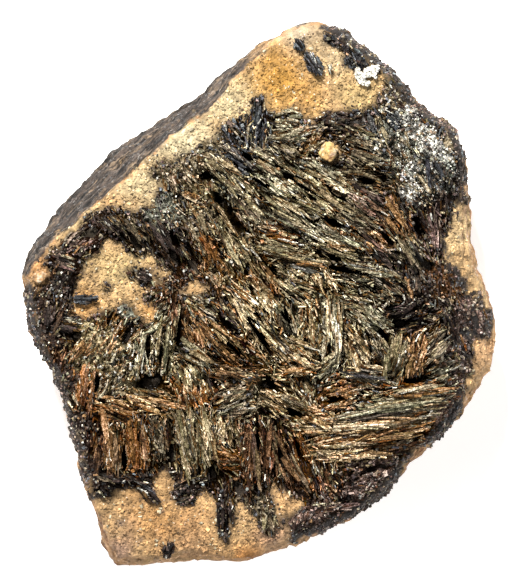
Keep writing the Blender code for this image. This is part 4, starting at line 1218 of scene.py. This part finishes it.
TUFTS = {
    # node: x, y, heading, length, width, radii, needles, tone, pale share of painted glints
    "needle_splinter_left": (-20.6, -0.6, 8, 4.2, 1.0, (0.10, 0.20), 26, "steel", 0.12),
    "needle_tuft_left": (-13.6, 2.1, 160, 2.2, 1.6, (0.05, 0.12), 90, "black", 0.08),
    "needle_tuft_top_upper": (4.7, 29.5, 125, 1.9, 1.5, (0.04, 0.10), 90, "steel", 0.05),
    "needle_tuft_top_lower": (6.4, 27.3, 122, 3.6, 1.9, (0.04, 0.11), 190, "steel", 0.06),
    "needle_tuft_pale": (8.4, 26.6, 100, 1.5, 0.6, (0.04, 0.08), 30, "sage", 0.3),
    "sulphide_spot_base": (-10.8, -30.4, 70, 2.6, 1.5, (0.07, 0.14), 50, "black", 0.03),
}
PALE_TUFT = "needle_tuft_pale"
TUFT_SEED = 31
LEAST_TUFT = 0.4
TUFT_SINK, TUFT_FOOT = 0.15, 0.05
TUFT_LENGTHS, TUFT_HEIGHTS = (0.25, 0.8), (0.1, 0.9)
TUFT_CROWDING = (0.4, 1)  # towards the tuft's middle line
LENGTH_TAPER, REACH_TAPER, HEIGHT_TAPER, END_TAPER = 1.5, 1.2, 1.6, 0.5
TUFT_FLATNESS = (0.9, 1.7)
TUFT_TURN, TUFT_RISE = 11, (0.02, 0.09)  # spread of the headings in degrees, rise and its spread
TUFT_SHADE, TUFT_DARK = 0.5, 0.2


def node_box(node):
    corners = np.array([v.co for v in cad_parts[node].data.vertices]) / MM
    return corners.min(0), corners.max(0)


def build_tuft(node, material, ground):
    """A small bundle of needles on the rock, highest along its middle, in place of the CAD node."""
    x, y, heading, length, width, radii, count, tone, pale = TUFTS[node]
    rng = np.random.default_rng(count * TUFT_SEED + len(node))
    side = rng.uniform(-0.5, 0.5, count) * rng.uniform(*TUFT_CROWDING, count)
    own_length = length * rng.uniform(*TUFT_LENGTHS, count) * (1 - LENGTH_TAPER * np.abs(side))
    play = length * (1 - REACH_TAPER * np.abs(side)) - own_length
    shift = rng.uniform(-0.5, 0.5, count) * play
    place = beside(x, y, heading, shift, side * width)
    top = 1 - (HEIGHT_TAPER * side) ** 2 - END_TAPER * np.abs(shift) / length
    base = rock.at(*place.T)
    places, _, found = ground_at(ground, *place.T)
    base[found] = places[:, 2]
    height = max(node_box(node)[1][2] - rock.at(x, y) - TUFT_SINK, LEAST_TUFT)
    level = base + TUFT_FOOT + height * top * rng.uniform(*TUFT_HEIGHTS, count)
    turn = math.radians(heading) + np.radians(rng.normal(0, TUFT_TURN, count))
    step = np.stack([np.cos(turn), np.sin(turn), rng.normal(*TUFT_RISE, count)], 1)
    own = np.tile(surface(TONES[tone]), (count, 1))
    needles = {
        # the pale ones are painted glints
        "tint": shaded(rng, own, TUFT_SHADE, pale, TUFT_DARK),
        "middle": np.column_stack([place, level]),
        "along": step,
        "length": own_length,
        "radius": rng.uniform(*radii, count),
        "flat": rng.uniform(*TUFT_FLATNESS, count),
        "bow": rng.normal(0, BEND, count) * length,
    }
    stands_for(needle_mesh(node + "_needles", needles, NEEDLE_RINGS, material), node)


# Calcite.

CALCITE_BLOCKS = 240
# Where the white crystals stand: x, y, radius.
CALCITE_SPOTS = [
    (13.7, 26.7, 0.42), (13.2, 26.3, 0.36), (12.7, 26.1, 0.40), (12.2, 25.7, 0.36),
    (11.7, 25.9, 0.36), (12.4, 25.1, 0.30), (11.6, 26.5, 0.22), (13.6, 25.8, 0.26),
    (12.8, 24.8, 0.22), (11.9, 25.2, 0.2),
]
CALCITE_WHITE = (240, 238, 226)
CALCITE_MARGIN, CALCITE_TOP = 0.15, 0.1  # how far inside the CAD cluster's box their middles stay
CALCITE_HEAP, CALCITE_SINK = 0.75, 0.05  # the heap is this share of the cluster's height
CALCITE_SPREAD, CALCITE_DOME = 1.2, 1.3  # in radiuses of the spot
CALCITE_LOG_SIZE, CALCITE_SIZE_SPREAD, CALCITE_SIZES = -1.6, 0.45, (0.1, 0.55)
CALCITE_FILL, CALCITE_SHADE = (0.2, 1), (0.5, 0.95)
CALCITE_UNEVEN, CALCITE_STRETCH = 0.14, (0.55, 1.25)
NODULE_VOXEL, NODULE_SMOOTHINGS = 0.07, 3
# node: colour, how far it is grown
NODULES = {
    "calcite_nodule_left": ((196, 154, 108), 0.05),
    "calcite_nodule_top": ((226, 188, 122), 0.4),
}
NODULE_BRIGHT, NODULE_RUST = (250, 244, 220), (128, 72, 44)
NODULE_BRIGHT_STEPS, NODULE_RUST_STEPS = (0.1, 0.7), (0.1, 0.6)
NODULE_BRIGHT_SHARE, NODULE_RUST_SHARE = 0.6, 0.7


def build_calcite_cluster(material):
    """White blocky crystals heaped over the CAD cluster's shape."""
    node = "calcite_cluster"
    rng = np.random.default_rng(SEEDS["calcite"])
    low, high = node_box(node)
    spots = np.array(CALCITE_SPOTS)
    chance = spots[:, 2] ** 2 / (spots[:, 2] ** 2).sum()
    cx, cy, radius = spots[rng.choice(len(spots), CALCITE_BLOCKS, p=chance)].T
    reach = radius * np.sqrt(rng.uniform(0, 1, CALCITE_BLOCKS)) * CALCITE_SPREAD
    turn = rng.uniform(0, 2 * np.pi, CALCITE_BLOCKS)
    inner_low, inner_high = low + CALCITE_MARGIN, high - CALCITE_MARGIN
    x = (cx + reach * np.cos(turn)).clip(inner_low[0], inner_high[0])
    y = (cy + reach * np.sin(turn)).clip(inner_low[1], inner_high[1])
    dome = 1 - (reach / (CALCITE_DOME * radius)) ** 2
    heap = CALCITE_HEAP * (high[2] - low[2]) * dome
    heap = heap * rng.uniform(*CALCITE_FILL, CALCITE_BLOCKS)
    level = (rock.at(x, y) + heap - CALCITE_SINK).clip(low[2], high[2] - CALCITE_TOP)
    sizes = rng.lognormal(CALCITE_LOG_SIZE, CALCITE_SIZE_SPREAD, CALCITE_BLOCKS)
    sizes = sizes.clip(*CALCITE_SIZES)
    tint = linear(CALCITE_WHITE) * rng.uniform(*CALCITE_SHADE, (CALCITE_BLOCKS, 1))
    places = np.stack([x, y, level], 1)
    shape = {"uneven": CALCITE_UNEVEN, "stretch": CALCITE_STRETCH}
    piece = grain_mesh("calcite_crystals", places, sizes, tint, material, **shape)
    stands_for(piece, node)


def build_nodule(node, material):
    """A rough lump in place of the CAD node's smooth one."""
    colour, grow = NODULES[node]
    nodule = remeshed_node(node + "_lump", node, NODULE_VOXEL, NODULE_SMOOTHINGS)
    mesh = nodule.data
    points, normals = mesh_points(mesh), mesh_normals(mesh)
    rough = noise("nodule lumps", *points.T) + noise("nodule grain", *points.T)
    points = points + normals * (rough + grow)[:, None]
    points[:, 2] = points[:, 2].clip(*(corner[2] for corner in node_box(node)))
    set_points(mesh, points)
    shade = np.exp(noise("nodule shade", *points.T))
    bright = smooth_step(*NODULE_BRIGHT_STEPS, noise("nodule bright", *points.T))
    rusty = smooth_step(*NODULE_RUST_STEPS, noise("nodule rust", *points.T))
    tint = linear(colour) * shade[:, None]
    tint = blended(tint, linear(NODULE_BRIGHT), NODULE_BRIGHT_SHARE * bright)
    tint = blended(tint, linear(NODULE_RUST), NODULE_RUST_SHARE * rusty)
    set_tint(mesh, (tint * ROCK_LEVEL).clip(*ROCK_LIMITS))
    give_material(mesh, material)
    stands_for(nodule, node)


# The slab.

SLAB_VOXEL, SLAB_SMOOTHINGS = 0.42, 5
ROCK_LEVEL = 0.475  # turns the rock's colours as seen into surface colours
ROCK_LIMITS = (0.005, 0.9)
RIM_HEADING = 47.0  # the upper left rim's direction, in degrees from +X
FLANK_FACING, LEAST_LEAN = (-0.73, 0.68), 0.05
FLANK_STEPS = (0.45, 0.75)
FLANK_PLACE = (-3.0, 1.0)
FLANK_LINE = 12.5  # the flank lies above and left of the line y = x + this
TIP_Y, TIP_Z, TIP_RAGGED = (27, 31), (9, 13), 8  # the slab's tip is left out of it
# The rock is darker in a ragged band along the crystals' edge.
EDGE_DARK_STEPS, EDGE_DARKNESS = (-0.4, 0.1), 0.62
# Painted shade on the rock where the crystals cover it.
COVERED, COVERED_PAINTED_SHADE = (0.2, 1.0), 0.85
SIDE_STEPS = (0.45, 1.1)
SIDE_RISE, SIDE_GAIN = 0.74, 2.4  # a normal that rises less than this belongs to a side
FLANK_BEDDING = 0.2
PATCH_FALL = 1.6
CRUST_SHARE = 0.95
STAIN_STEPS, STREAK_STEPS = (0.0, 0.9), (0.0, 0.8)
EAST_X, EAST_GAIN = (23, 26), 0.3  # the sides are paler at the right
FLANK_STEEP = (0.95, 0.84)
LIP_RISE, LIP_WIDTH, LIP_SHARE = 0.945, 0.02, 0.75
SLAB_SIDE = (0.9, 0.4)
TOP_ROLL, SIDE_ROLL = 0.45, 0.9
LEDGE_DEPTH, SIDE_SWELL, SHRINK = 0.5, 0.24, 0.06
FLANK_SWELL, CRUST_SWELL = 0.3, 0.3
CRUST_HOLES = (0.0, 0.6)


def on_flank(points, normals):
    """1 on the long sloping flank at the upper left, 0 away from it."""
    x, y, z = points.T
    facing_it = normals[:, 0] * FLANK_FACING[0] + normals[:, 1] * FLANK_FACING[1]
    facing_it = facing_it / np.maximum(np.hypot(normals[:, 0], normals[:, 1]), LEAST_LEAN)
    ragged = noise("flank edge", x, y, z)
    place = smooth_step(*FLANK_PLACE, y - x - FLANK_LINE)
    tip = smooth_step(*TIP_Y, y) * smooth_step(*TIP_Z, z + TIP_RAGGED * ragged)
    return smooth_step(*FLANK_STEPS, facing_it + ragged) * place * (1 - tip)


def top_tint(x, y):
    """The colour of the slab's upper face, from its patches, darker in a ragged band along the
    crystals' edge, and with painted shade where the crystals cover it.
    """
    colour = linear(ROCK_BASE)
    ragged = 1 + noise("rock patches", x, y)
    for px, py, radius, patch, strength in ROCK_PATCHES:
        near = np.exp(-((np.hypot(x - px, y - py) / (radius * ragged)) ** 2) * PATCH_FALL)
        colour = blended(colour, linear(patch), strength * near)
    colour = colour * np.exp(noise("rock shade", x, y) + noise("rock grain", x, y))[:, None]
    # darker in a ragged band along the crystals' edge
    edge_dark = smooth_step(*EDGE_DARK_STEPS, mat_edge.at(x, y) + noise("edge_dark", x, y))
    # Painted shade under the crystals.
    covered = smooth_step(*COVERED, mat_edge.at(x, y))
    return colour * ((1 - EDGE_DARKNESS * edge_dark) * (1 - COVERED_PAINTED_SHADE * covered))[:, None]


def slab_tint(points, normals):
    """The rock's colour at each point, and how far it is laminated there."""
    x, y, z = points.T
    rise = normals[:, 2]
    on_side = smooth_step(*WALL_FACING, rise)
    flank_share = on_flank(points, normals)
    crusted = wall_share(points, normals)
    # The broken sides, with bedding that lies level.
    bedding = noise("bedding", x, y, z)
    steepness = (SIDE_RISE - rise) * SIDE_GAIN
    side = smooth_step(*SIDE_STEPS, np.maximum(rock.at(x, y) - z, steepness))
    stain = smooth_step(*STAIN_STEPS, bedding)
    side_colour = blended(linear(SIDE_COLOUR), linear(SIDE_STAIN), stain)
    paler = 1 + EAST_GAIN * smooth_step(*EAST_X, x)
    side_colour = side_colour * ((1 + noise("fine bedding", x, y, z)) * paler)[:, None]
    # The sloping flank at the upper left, dark with pale streaks and a rusty lip.
    streak = smooth_step(*STREAK_STEPS, noise("streaks", x, y, z))
    flank = blended(linear(FLANK_DARK), linear(FLANK_STREAK), streak)
    flank = flank * (1 + FLANK_BEDDING * bedding)[:, None]
    lip = flank_share * np.exp(-(((rise - LIP_RISE) / LIP_WIDTH) ** 2))
    shade = np.exp(noise("crust shade", x, y, z))[:, None]
    colour = blended(top_tint(x, y), side_colour, side * (1 - flank_share))
    colour = blended(colour, flank, smooth_step(*FLANK_STEEP, rise) * flank_share)
    colour = blended(colour, linear(FLANK_LIP), LIP_SHARE * lip)
    colour = blended(colour, linear(WALL_CRUST) * shade, CRUST_SHARE * crusted)
    laminated = on_side * flank_share * (1 - crusted)
    return (colour * ROCK_LEVEL).clip(*ROCK_LIMITS), laminated.clip(0, 1)


def build_slab(material):
    slab = remeshed_node("sandstone", "sandstone_slab", SLAB_VOXEL, SLAB_SMOOTHINGS)
    mesh = slab.data
    points, normals = mesh_points(mesh), mesh_normals(mesh)
    x, y, z = points.T
    side = smooth_step(*SLAB_SIDE, np.abs(normals[:, 2]))
    rolling = noise("rolling", x, y, z) + noise("rock relief", x, y, z)
    ledge = np.abs(noise("ledges", x, y, z))
    lines = noise("laminae", *turned(x, y, RIM_HEADING), z)
    flank = on_flank(points, normals) * smooth_step(*WALL_FACING, normals[:, 2])
    broken = SIDE_ROLL * rolling - LEDGE_DEPTH * ledge + SIDE_SWELL
    move = TOP_ROLL * rolling * (1 - side) + side * broken - SHRINK
    move = move + flank * (lines + FLANK_SWELL)
    holes = smooth_step(*CRUST_HOLES, noise("wall holes", x, y, z))
    move = move + wall_share(points, normals) * (CRUST_SWELL - CRUST_SWELL * holes)
    points = (points + normals * move[:, None]).clip(BOX_LOW, BOX_HIGH)
    set_points(mesh, points)
    mesh.update()
    set_tint(mesh, *slab_tint(points, mesh_normals(mesh)))
    give_material(mesh, material)
    stands_for(slab, "sandstone_slab")
    return slab


SAND_SPACING = 0.36
SAND_LEVEL, SAND_FLANK, SAND_EAST = 0.93, 0.045, 0.2  # how far a grain's place has to face up
SAND_EAST_X = (21, 23)
SAND_DARK, SAND_PALE = (74, 60, 48), (240, 226, 190)
SPECK_SHARE, SPECK_CROWDING, SPECK_RIM = 0.012, 0.45, (-0.9, 0.05)
PALE_SAND = 0.025
SAND_EDGE = 0.1  # how far grains go in under the mat's edge
SAND_SHADE, SPECK_SHADE, PALE_SHADE = 0.2, (0.3, 1.6), (0.35, 0.5)
SAND_SIZES, SPECK_SIZE = (0.16, 0.40), 0.7
SAND_SINK = 0.25  # in sizes of the grain
SAND_UNEVEN = 0.15


def build_sand(ground, material):
    """Sand grains standing out of the bare rock, with more dark specks near the crystals."""
    rng = np.random.default_rng(SEEDS["sand"])
    x, y = random_places(rng, SAND_SPACING)
    bare = mat_edge.at(x, y) < SAND_EDGE
    places, normals, _ = ground_at(ground, x[bare], y[bare])
    east = smooth_step(*SAND_EAST_X, places[:, 0])
    least = SAND_LEVEL + SAND_FLANK * on_flank(places, normals) - SAND_EAST * east
    level = normals[:, 2] > least
    places, normals = places[level], normals[level]
    count = len(places)
    tint = slab_tint(places, normals)[0] * rng.lognormal(0.0, SAND_SHADE, (count, 1))
    kind = rng.uniform(0, 1, count)
    near = smooth_step(*SPECK_RIM, mat_edge.at(places[:, 0], places[:, 1]))
    dark, pale = kind < SPECK_SHARE + SPECK_CROWDING * near, kind > 1 - PALE_SAND
    tint[dark] = linear(SAND_DARK) * rng.uniform(*SPECK_SHADE, (dark.sum(), 1))
    tint[pale] = linear(SAND_PALE) * rng.uniform(*PALE_SHADE, (pale.sum(), 1))
    sizes = rng.uniform(*SAND_SIZES, count)
    sizes[dark] *= SPECK_SIZE
    places = places - normals * (SAND_SINK * sizes)[:, None]
    piece = grain_mesh("sand_grains", places, sizes, tint, material, SAND_UNEVEN)
    stands_for(piece, "sandstone_slab")


# Materials.

VECTORS = "ShaderNodeVectorMath"
SULPHIDES = {
    # name: metallic, specular, added roughness
    "betekhtinite": (0.35, 0.16, 0.06),
    "pale_needles": (0.4, 0.2, 0.0),
    "deep_needles": (0.2, 0.0, 0.1),
    "mat_crust": (0.0, 0.0, 0.2),
    "druse": (0.05, 0.35, 0.1),
}
PLAIN_SPECULAR = 0.3
# Patterns: how many to the metre.
TARNISH, GRIT = 2400.0, 6800.0
GRAINS, SPECKS, ROCK_CLOUDS = 3600.0, 2300.0, 1100.0
LAMINAE = (260.0, 2600.0, 2600.0)  # along the rim, across it and upwards
MILK = 3000.0
# The part of a soft noise's range that a pattern uses, and the factors that it becomes there.
WIDE, NARROW = (0.3, 0.7), (0.35, 0.65)
TARNISH_SHADES, GRIT_SHADES = (0.35, 1.6), (0.3, 1.7)
CLOUD_SHADES, GRAIN_SHADES, MILK_SHADES = (0.72, 1.28), (0.78, 1.22), (0.8, 1.15)
LINE_PART, LINE_SHADES, LINE_ROUGHNESS = (0.42, 0.58), (0.1, 2.4), 0.65
# Bright parts of the needles are greyer, a painted highlight: brightness, and the saturation there.
GREYING, SATURATION = (0.0, 0.35), (1.2, 0.75)
NEEDLE_ROUGHNESS = (0.34, 0.7)
SPECK_CELLS = (0.95, 0.97)  # cells with a random number over this are dark specks
SPECK_CORE, SPECK_DARKNESS = (0.15, 0.4), (0.7, 0.0)
GLINT_CELLS, GLINT_ROUGHNESS = (0.85, 0.95), (0.85, 0.3)
NEEDLE_BUMP, NEEDLE_RELIEF = 0.00008, 0.5  # height in metres, strength
GRAIN_BUMP, GRAIN_RELIEF = 0.00012, 0.6
GRAIN_LEAN = 0.65


def set_inputs(tree, node, inputs):
    """Gives a node's inputs their values, or links them to another node's outputs."""
    for key, value in inputs.items():
        if isinstance(value, bpy.types.NodeSocket):
            tree.links.new(value, node.inputs[key])
        else:
            node.inputs[key].default_value = value


def new_material(name, inputs):
    """A material, its node tree and its shader with these inputs."""
    material = bpy.data.materials.new(name)
    material.use_nodes = True
    tree = material.node_tree
    shader = tree.nodes["Principled BSDF"]
    set_inputs(tree, shader, {"Specular IOR Level": PLAIN_SPECULAR, **inputs})
    return material, tree, shader


def add_node(tree, kind, inputs=None, **settings):
    node = tree.nodes.new(kind)
    for key, value in settings.items():
        setattr(node, key, value)
    set_inputs(tree, node, inputs or {})
    return node


def maths(tree, operation, *values, kind="ShaderNodeMath"):
    """What an operation makes of some numbers, or of some vectors."""
    return add_node(tree, kind, dict(enumerate(values)), operation=operation).outputs[0]


def ranged(tree, value, old, new):
    """The value with one range, low and high, moved to another."""
    limits = {"From Min": old[0], "From Max": old[1], "To Min": new[0], "To Max": new[1]}
    return add_node(tree, "ShaderNodeMapRange", {"Value": value, **limits}).outputs[0]


def object_place(tree):
    return add_node(tree, "ShaderNodeTexCoord").outputs["Object"]


def clouds(tree, place, scale, detail, **more):
    """A soft noise about 0.5."""
    inputs = {"Vector": place, "Scale": scale, "Detail": detail, **more}
    return add_node(tree, "ShaderNodeTexNoise", inputs).outputs["Fac"]


def grains_of(tree, place, scale):
    """Cells, and the random numbers that each of them has."""
    cells = add_node(tree, "ShaderNodeTexVoronoi", {"Vector": place, "Scale": scale})
    numbers = add_node(tree, "ShaderNodeSeparateColor", {"Color": cells.outputs["Color"]})
    return cells.outputs, numbers.outputs


def mesh_tint(tree):
    return add_node(tree, "ShaderNodeAttribute", attribute_name="tint").outputs


def tinted(tree, factor):
    """The mesh's own colour, made darker or lighter by a factor."""
    return maths(tree, "MULTIPLY", mesh_tint(tree)["Color"], factor, kind=VECTORS)


def needle_material(name):
    """Tarnished sulphide: a half-metallic lustre, fine patchy tarnish, bright parts greyer as a
    painted highlight.
    """
    metallic, specular, rough = SULPHIDES[name]
    inputs = {"Metallic": metallic, "Specular IOR Level": specular}
    material, tree, shader = new_material(name, inputs)
    place = object_place(tree)
    patches, grit = clouds(tree, place, TARNISH, 2.0), clouds(tree, place, GRIT, 1.0)
    broad = ranged(tree, patches, NARROW, TARNISH_SHADES)
    small = ranged(tree, grit, NARROW, GRIT_SHADES)
    colour = tinted(tree, maths(tree, "MULTIPLY", broad, small))
    level = add_node(tree, "ShaderNodeRGBToBW", {"Color": colour}).outputs[0]
    # Painted highlight: bright colours lose saturation, as a white shine would look.
    strength = ranged(tree, level, GREYING, SATURATION)
    aged = add_node(tree, "ShaderNodeHueSaturation", {"Color": colour, "Saturation": strength})
    relief = {"Height": grit, "Strength": NEEDLE_RELIEF, "Distance": NEEDLE_BUMP}
    roughness = [limit + rough for limit in NEEDLE_ROUGHNESS]
    set_inputs(tree, shader, {
        "Base Color": aged.outputs[0],
        "Roughness": ranged(tree, patches, WIDE, roughness),
        "Normal": add_node(tree, "ShaderNodeBump", relief).outputs[0],
    })
    return material


def grain_facets(tree, colour, lean):
    """The surface's normal with each grain leaned its own way, which its random colour tells."""
    normal = add_node(tree, "ShaderNodeNewGeometry").outputs["Normal"]
    centre = (-lean / 2, -lean / 2, -lean / 2)
    leaned = maths(tree, "MULTIPLY_ADD", colour, (lean, lean, lean), centre, kind=VECTORS)
    total = maths(tree, "ADD", leaned, normal, kind=VECTORS)
    return maths(tree, "NORMALIZE", total, kind=VECTORS)


def laminae(tree, place):
    """Fine light and dark lines along the upper left rim, where the mesh's alpha asks for them."""
    turn = {"Vector": place, "Angle": -math.radians(RIM_HEADING)}
    spun = add_node(tree, "ShaderNodeVectorRotate", turn).outputs[0]
    drawn_out = maths(tree, "MULTIPLY", spun, LAMINAE, kind=VECTORS)
    lines = clouds(tree, drawn_out, 1.0, 5.0, Roughness=LINE_ROUGHNESS)
    pattern = ranged(tree, lines, LINE_PART, LINE_SHADES)
    inputs = {"Factor": mesh_tint(tree)["Alpha"], "A": 1.0, "B": pattern}
    return add_node(tree, "ShaderNodeMix", inputs, data_type="FLOAT").outputs[0]


def sandstone_material():
    """Sand grains, each with its own colour and facet, with dark specks between them."""
    material, tree, shader = new_material("sandstone", {})
    place = object_place(tree)
    grains, each = grains_of(tree, place, GRAINS)
    specks, speck = grains_of(tree, place, SPECKS)
    broad = ranged(tree, clouds(tree, place, ROCK_CLOUDS, 4.0), WIDE, CLOUD_SHADES)
    single = ranged(tree, each[0], (0.0, 1.0), GRAIN_SHADES)
    chosen = ranged(tree, speck[1], SPECK_CELLS, (0.0, 1.0))
    core = ranged(tree, specks["Distance"], SPECK_CORE, SPECK_DARKNESS)
    light = maths(tree, "SUBTRACT", 1.0, maths(tree, "MULTIPLY", chosen, core))
    factor = maths(tree, "MULTIPLY", maths(tree, "MULTIPLY", broad, single), light)
    factor = maths(tree, "MULTIPLY", factor, laminae(tree, place))
    relief = {"Height": grains["Distance"], "Distance": GRAIN_BUMP, "Strength": GRAIN_RELIEF}
    relief["Normal"] = grain_facets(tree, grains["Color"], GRAIN_LEAN)
    set_inputs(tree, shader, {
        "Base Color": tinted(tree, factor),
        "Roughness": ranged(tree, each[1], GLINT_CELLS, GLINT_ROUGHNESS),
        "Normal": add_node(tree, "ShaderNodeBump", relief, invert=True).outputs[0],
    })
    return material


def calcite_material():
    """Milky calcite with a glassy surface, a little light going through it."""
    glassy = {"IOR": 1.6, "Specular IOR Level": 0.5, "Transmission Weight": 0.15}
    material, tree, shader = new_material("calcite", {"Roughness": 0.25, **glassy})
    milk = clouds(tree, object_place(tree), MILK, 3.0)
    colour = tinted(tree, ranged(tree, milk, WIDE, MILK_SHADES))
    set_inputs(tree, shader, {"Base Color": colour})
    return material


# Stage.

CAMERA_HEIGHT = 616.0
PICTURE_LEVEL = 8.0
PICTURE_TALL = 70.44  # what the picture's long side covers at that level
PICTURE_CENTRE = (-0.12, 0.06)
SENSOR = 36.0
CLIP = (0.01, 10)  # in metres
FLOOR_REACH = 600
FLOOR_GLOW = 0.5  # a white floor lit from below, so the shadow on it stays faint
FLOOR_COLOUR, WHITE = (0.93, 0.93, 0.92, 1), (1, 1, 1, 1)
LAMPS = {
    # name: place, size, power, colour
    "key": ((-120, 420, 460), 110, 12.5, (1.0, 0.97, 0.93)),
    "fill_right": ((560, -60, 380), 420, 1.9, (0.95, 0.98, 1.0)),
    "fill_left": ((-560, -100, 300), 420, 1.5, (1.0, 0.98, 0.96)),
    "low_front": ((60, -560, 260), 420, 1.1, (1.0, 1.0, 1.0)),
}
SKY = 0.17


def build_stage():
    glow = {"Emission Color": WHITE, "Emission Strength": FLOOR_GLOW}
    inputs = {"Roughness": 0.9, "Base Color": FLOOR_COLOUR, **glow}
    signs = np.array([(-1, -1, 0), (1, -1, 0), (1, 1, 0), (-1, 1, 0)], float)
    face = np.array([(0, 1, 2, 3)])
    add_mesh("floor", signs * FLOOR_REACH, [face], new_material("floor", inputs)[0])
    camera = bpy.data.cameras.new("camera")
    camera.sensor_width = SENSOR
    camera.lens = SENSOR * (CAMERA_HEIGHT - PICTURE_LEVEL) / PICTURE_TALL
    camera.clip_start, camera.clip_end = CLIP
    camera_object = new_object("camera", camera)
    camera_object.location = Vector((*PICTURE_CENTRE, CAMERA_HEIGHT)) * MM
    bpy.context.scene.camera = camera_object
    bpy.context.scene.view_settings.view_transform = "Standard"


def build_lights():
    for name, (place, size, power, colour) in LAMPS.items():
        lamp = bpy.data.lights.new(name, "AREA")
        lamp.shape = "DISK"
        lamp.size = size * MM
        lamp.energy = power
        lamp.color = colour
        lamp_object = new_object(name, lamp)
        lamp_object.location = Vector(place) * MM
        lamp_object.rotation_mode = "QUATERNION"
        lamp_object.rotation_quaternion = (-lamp_object.location).to_track_quat("-Z", "Y")
    world = bpy.data.worlds.new("studio")
    bpy.context.scene.world = world
    world.use_nodes = True
    background = world.node_tree.nodes["Background"]
    set_inputs(world.node_tree, background, {"Color": WHITE, "Strength": SKY})


build_stage()
build_lights()
stone = sandstone_material()
sulphide = {name: needle_material(name) for name in SULPHIDES}
slab = build_slab(stone)
ground = tree_of(slab.data, mesh_points(slab.data).tolist())
bed_edge, bed_level = bed_fields(ground)
build_sand(ground, stone)
build_crust(sulphide["mat_crust"])
build_needles(sulphide["betekhtinite"], sulphide["deep_needles"])
build_druses(sulphide["druse"])
build_wall_grains(slab, sulphide["druse"])
for tuft in TUFTS:
    if tuft == PALE_TUFT:
        build_tuft(tuft, sulphide["pale_needles"], ground)
    else:
        build_tuft(tuft, sulphide["betekhtinite"], ground)
for nodule in NODULES:
    build_nodule(nodule, stone)
build_calcite_cluster(calcite_material())
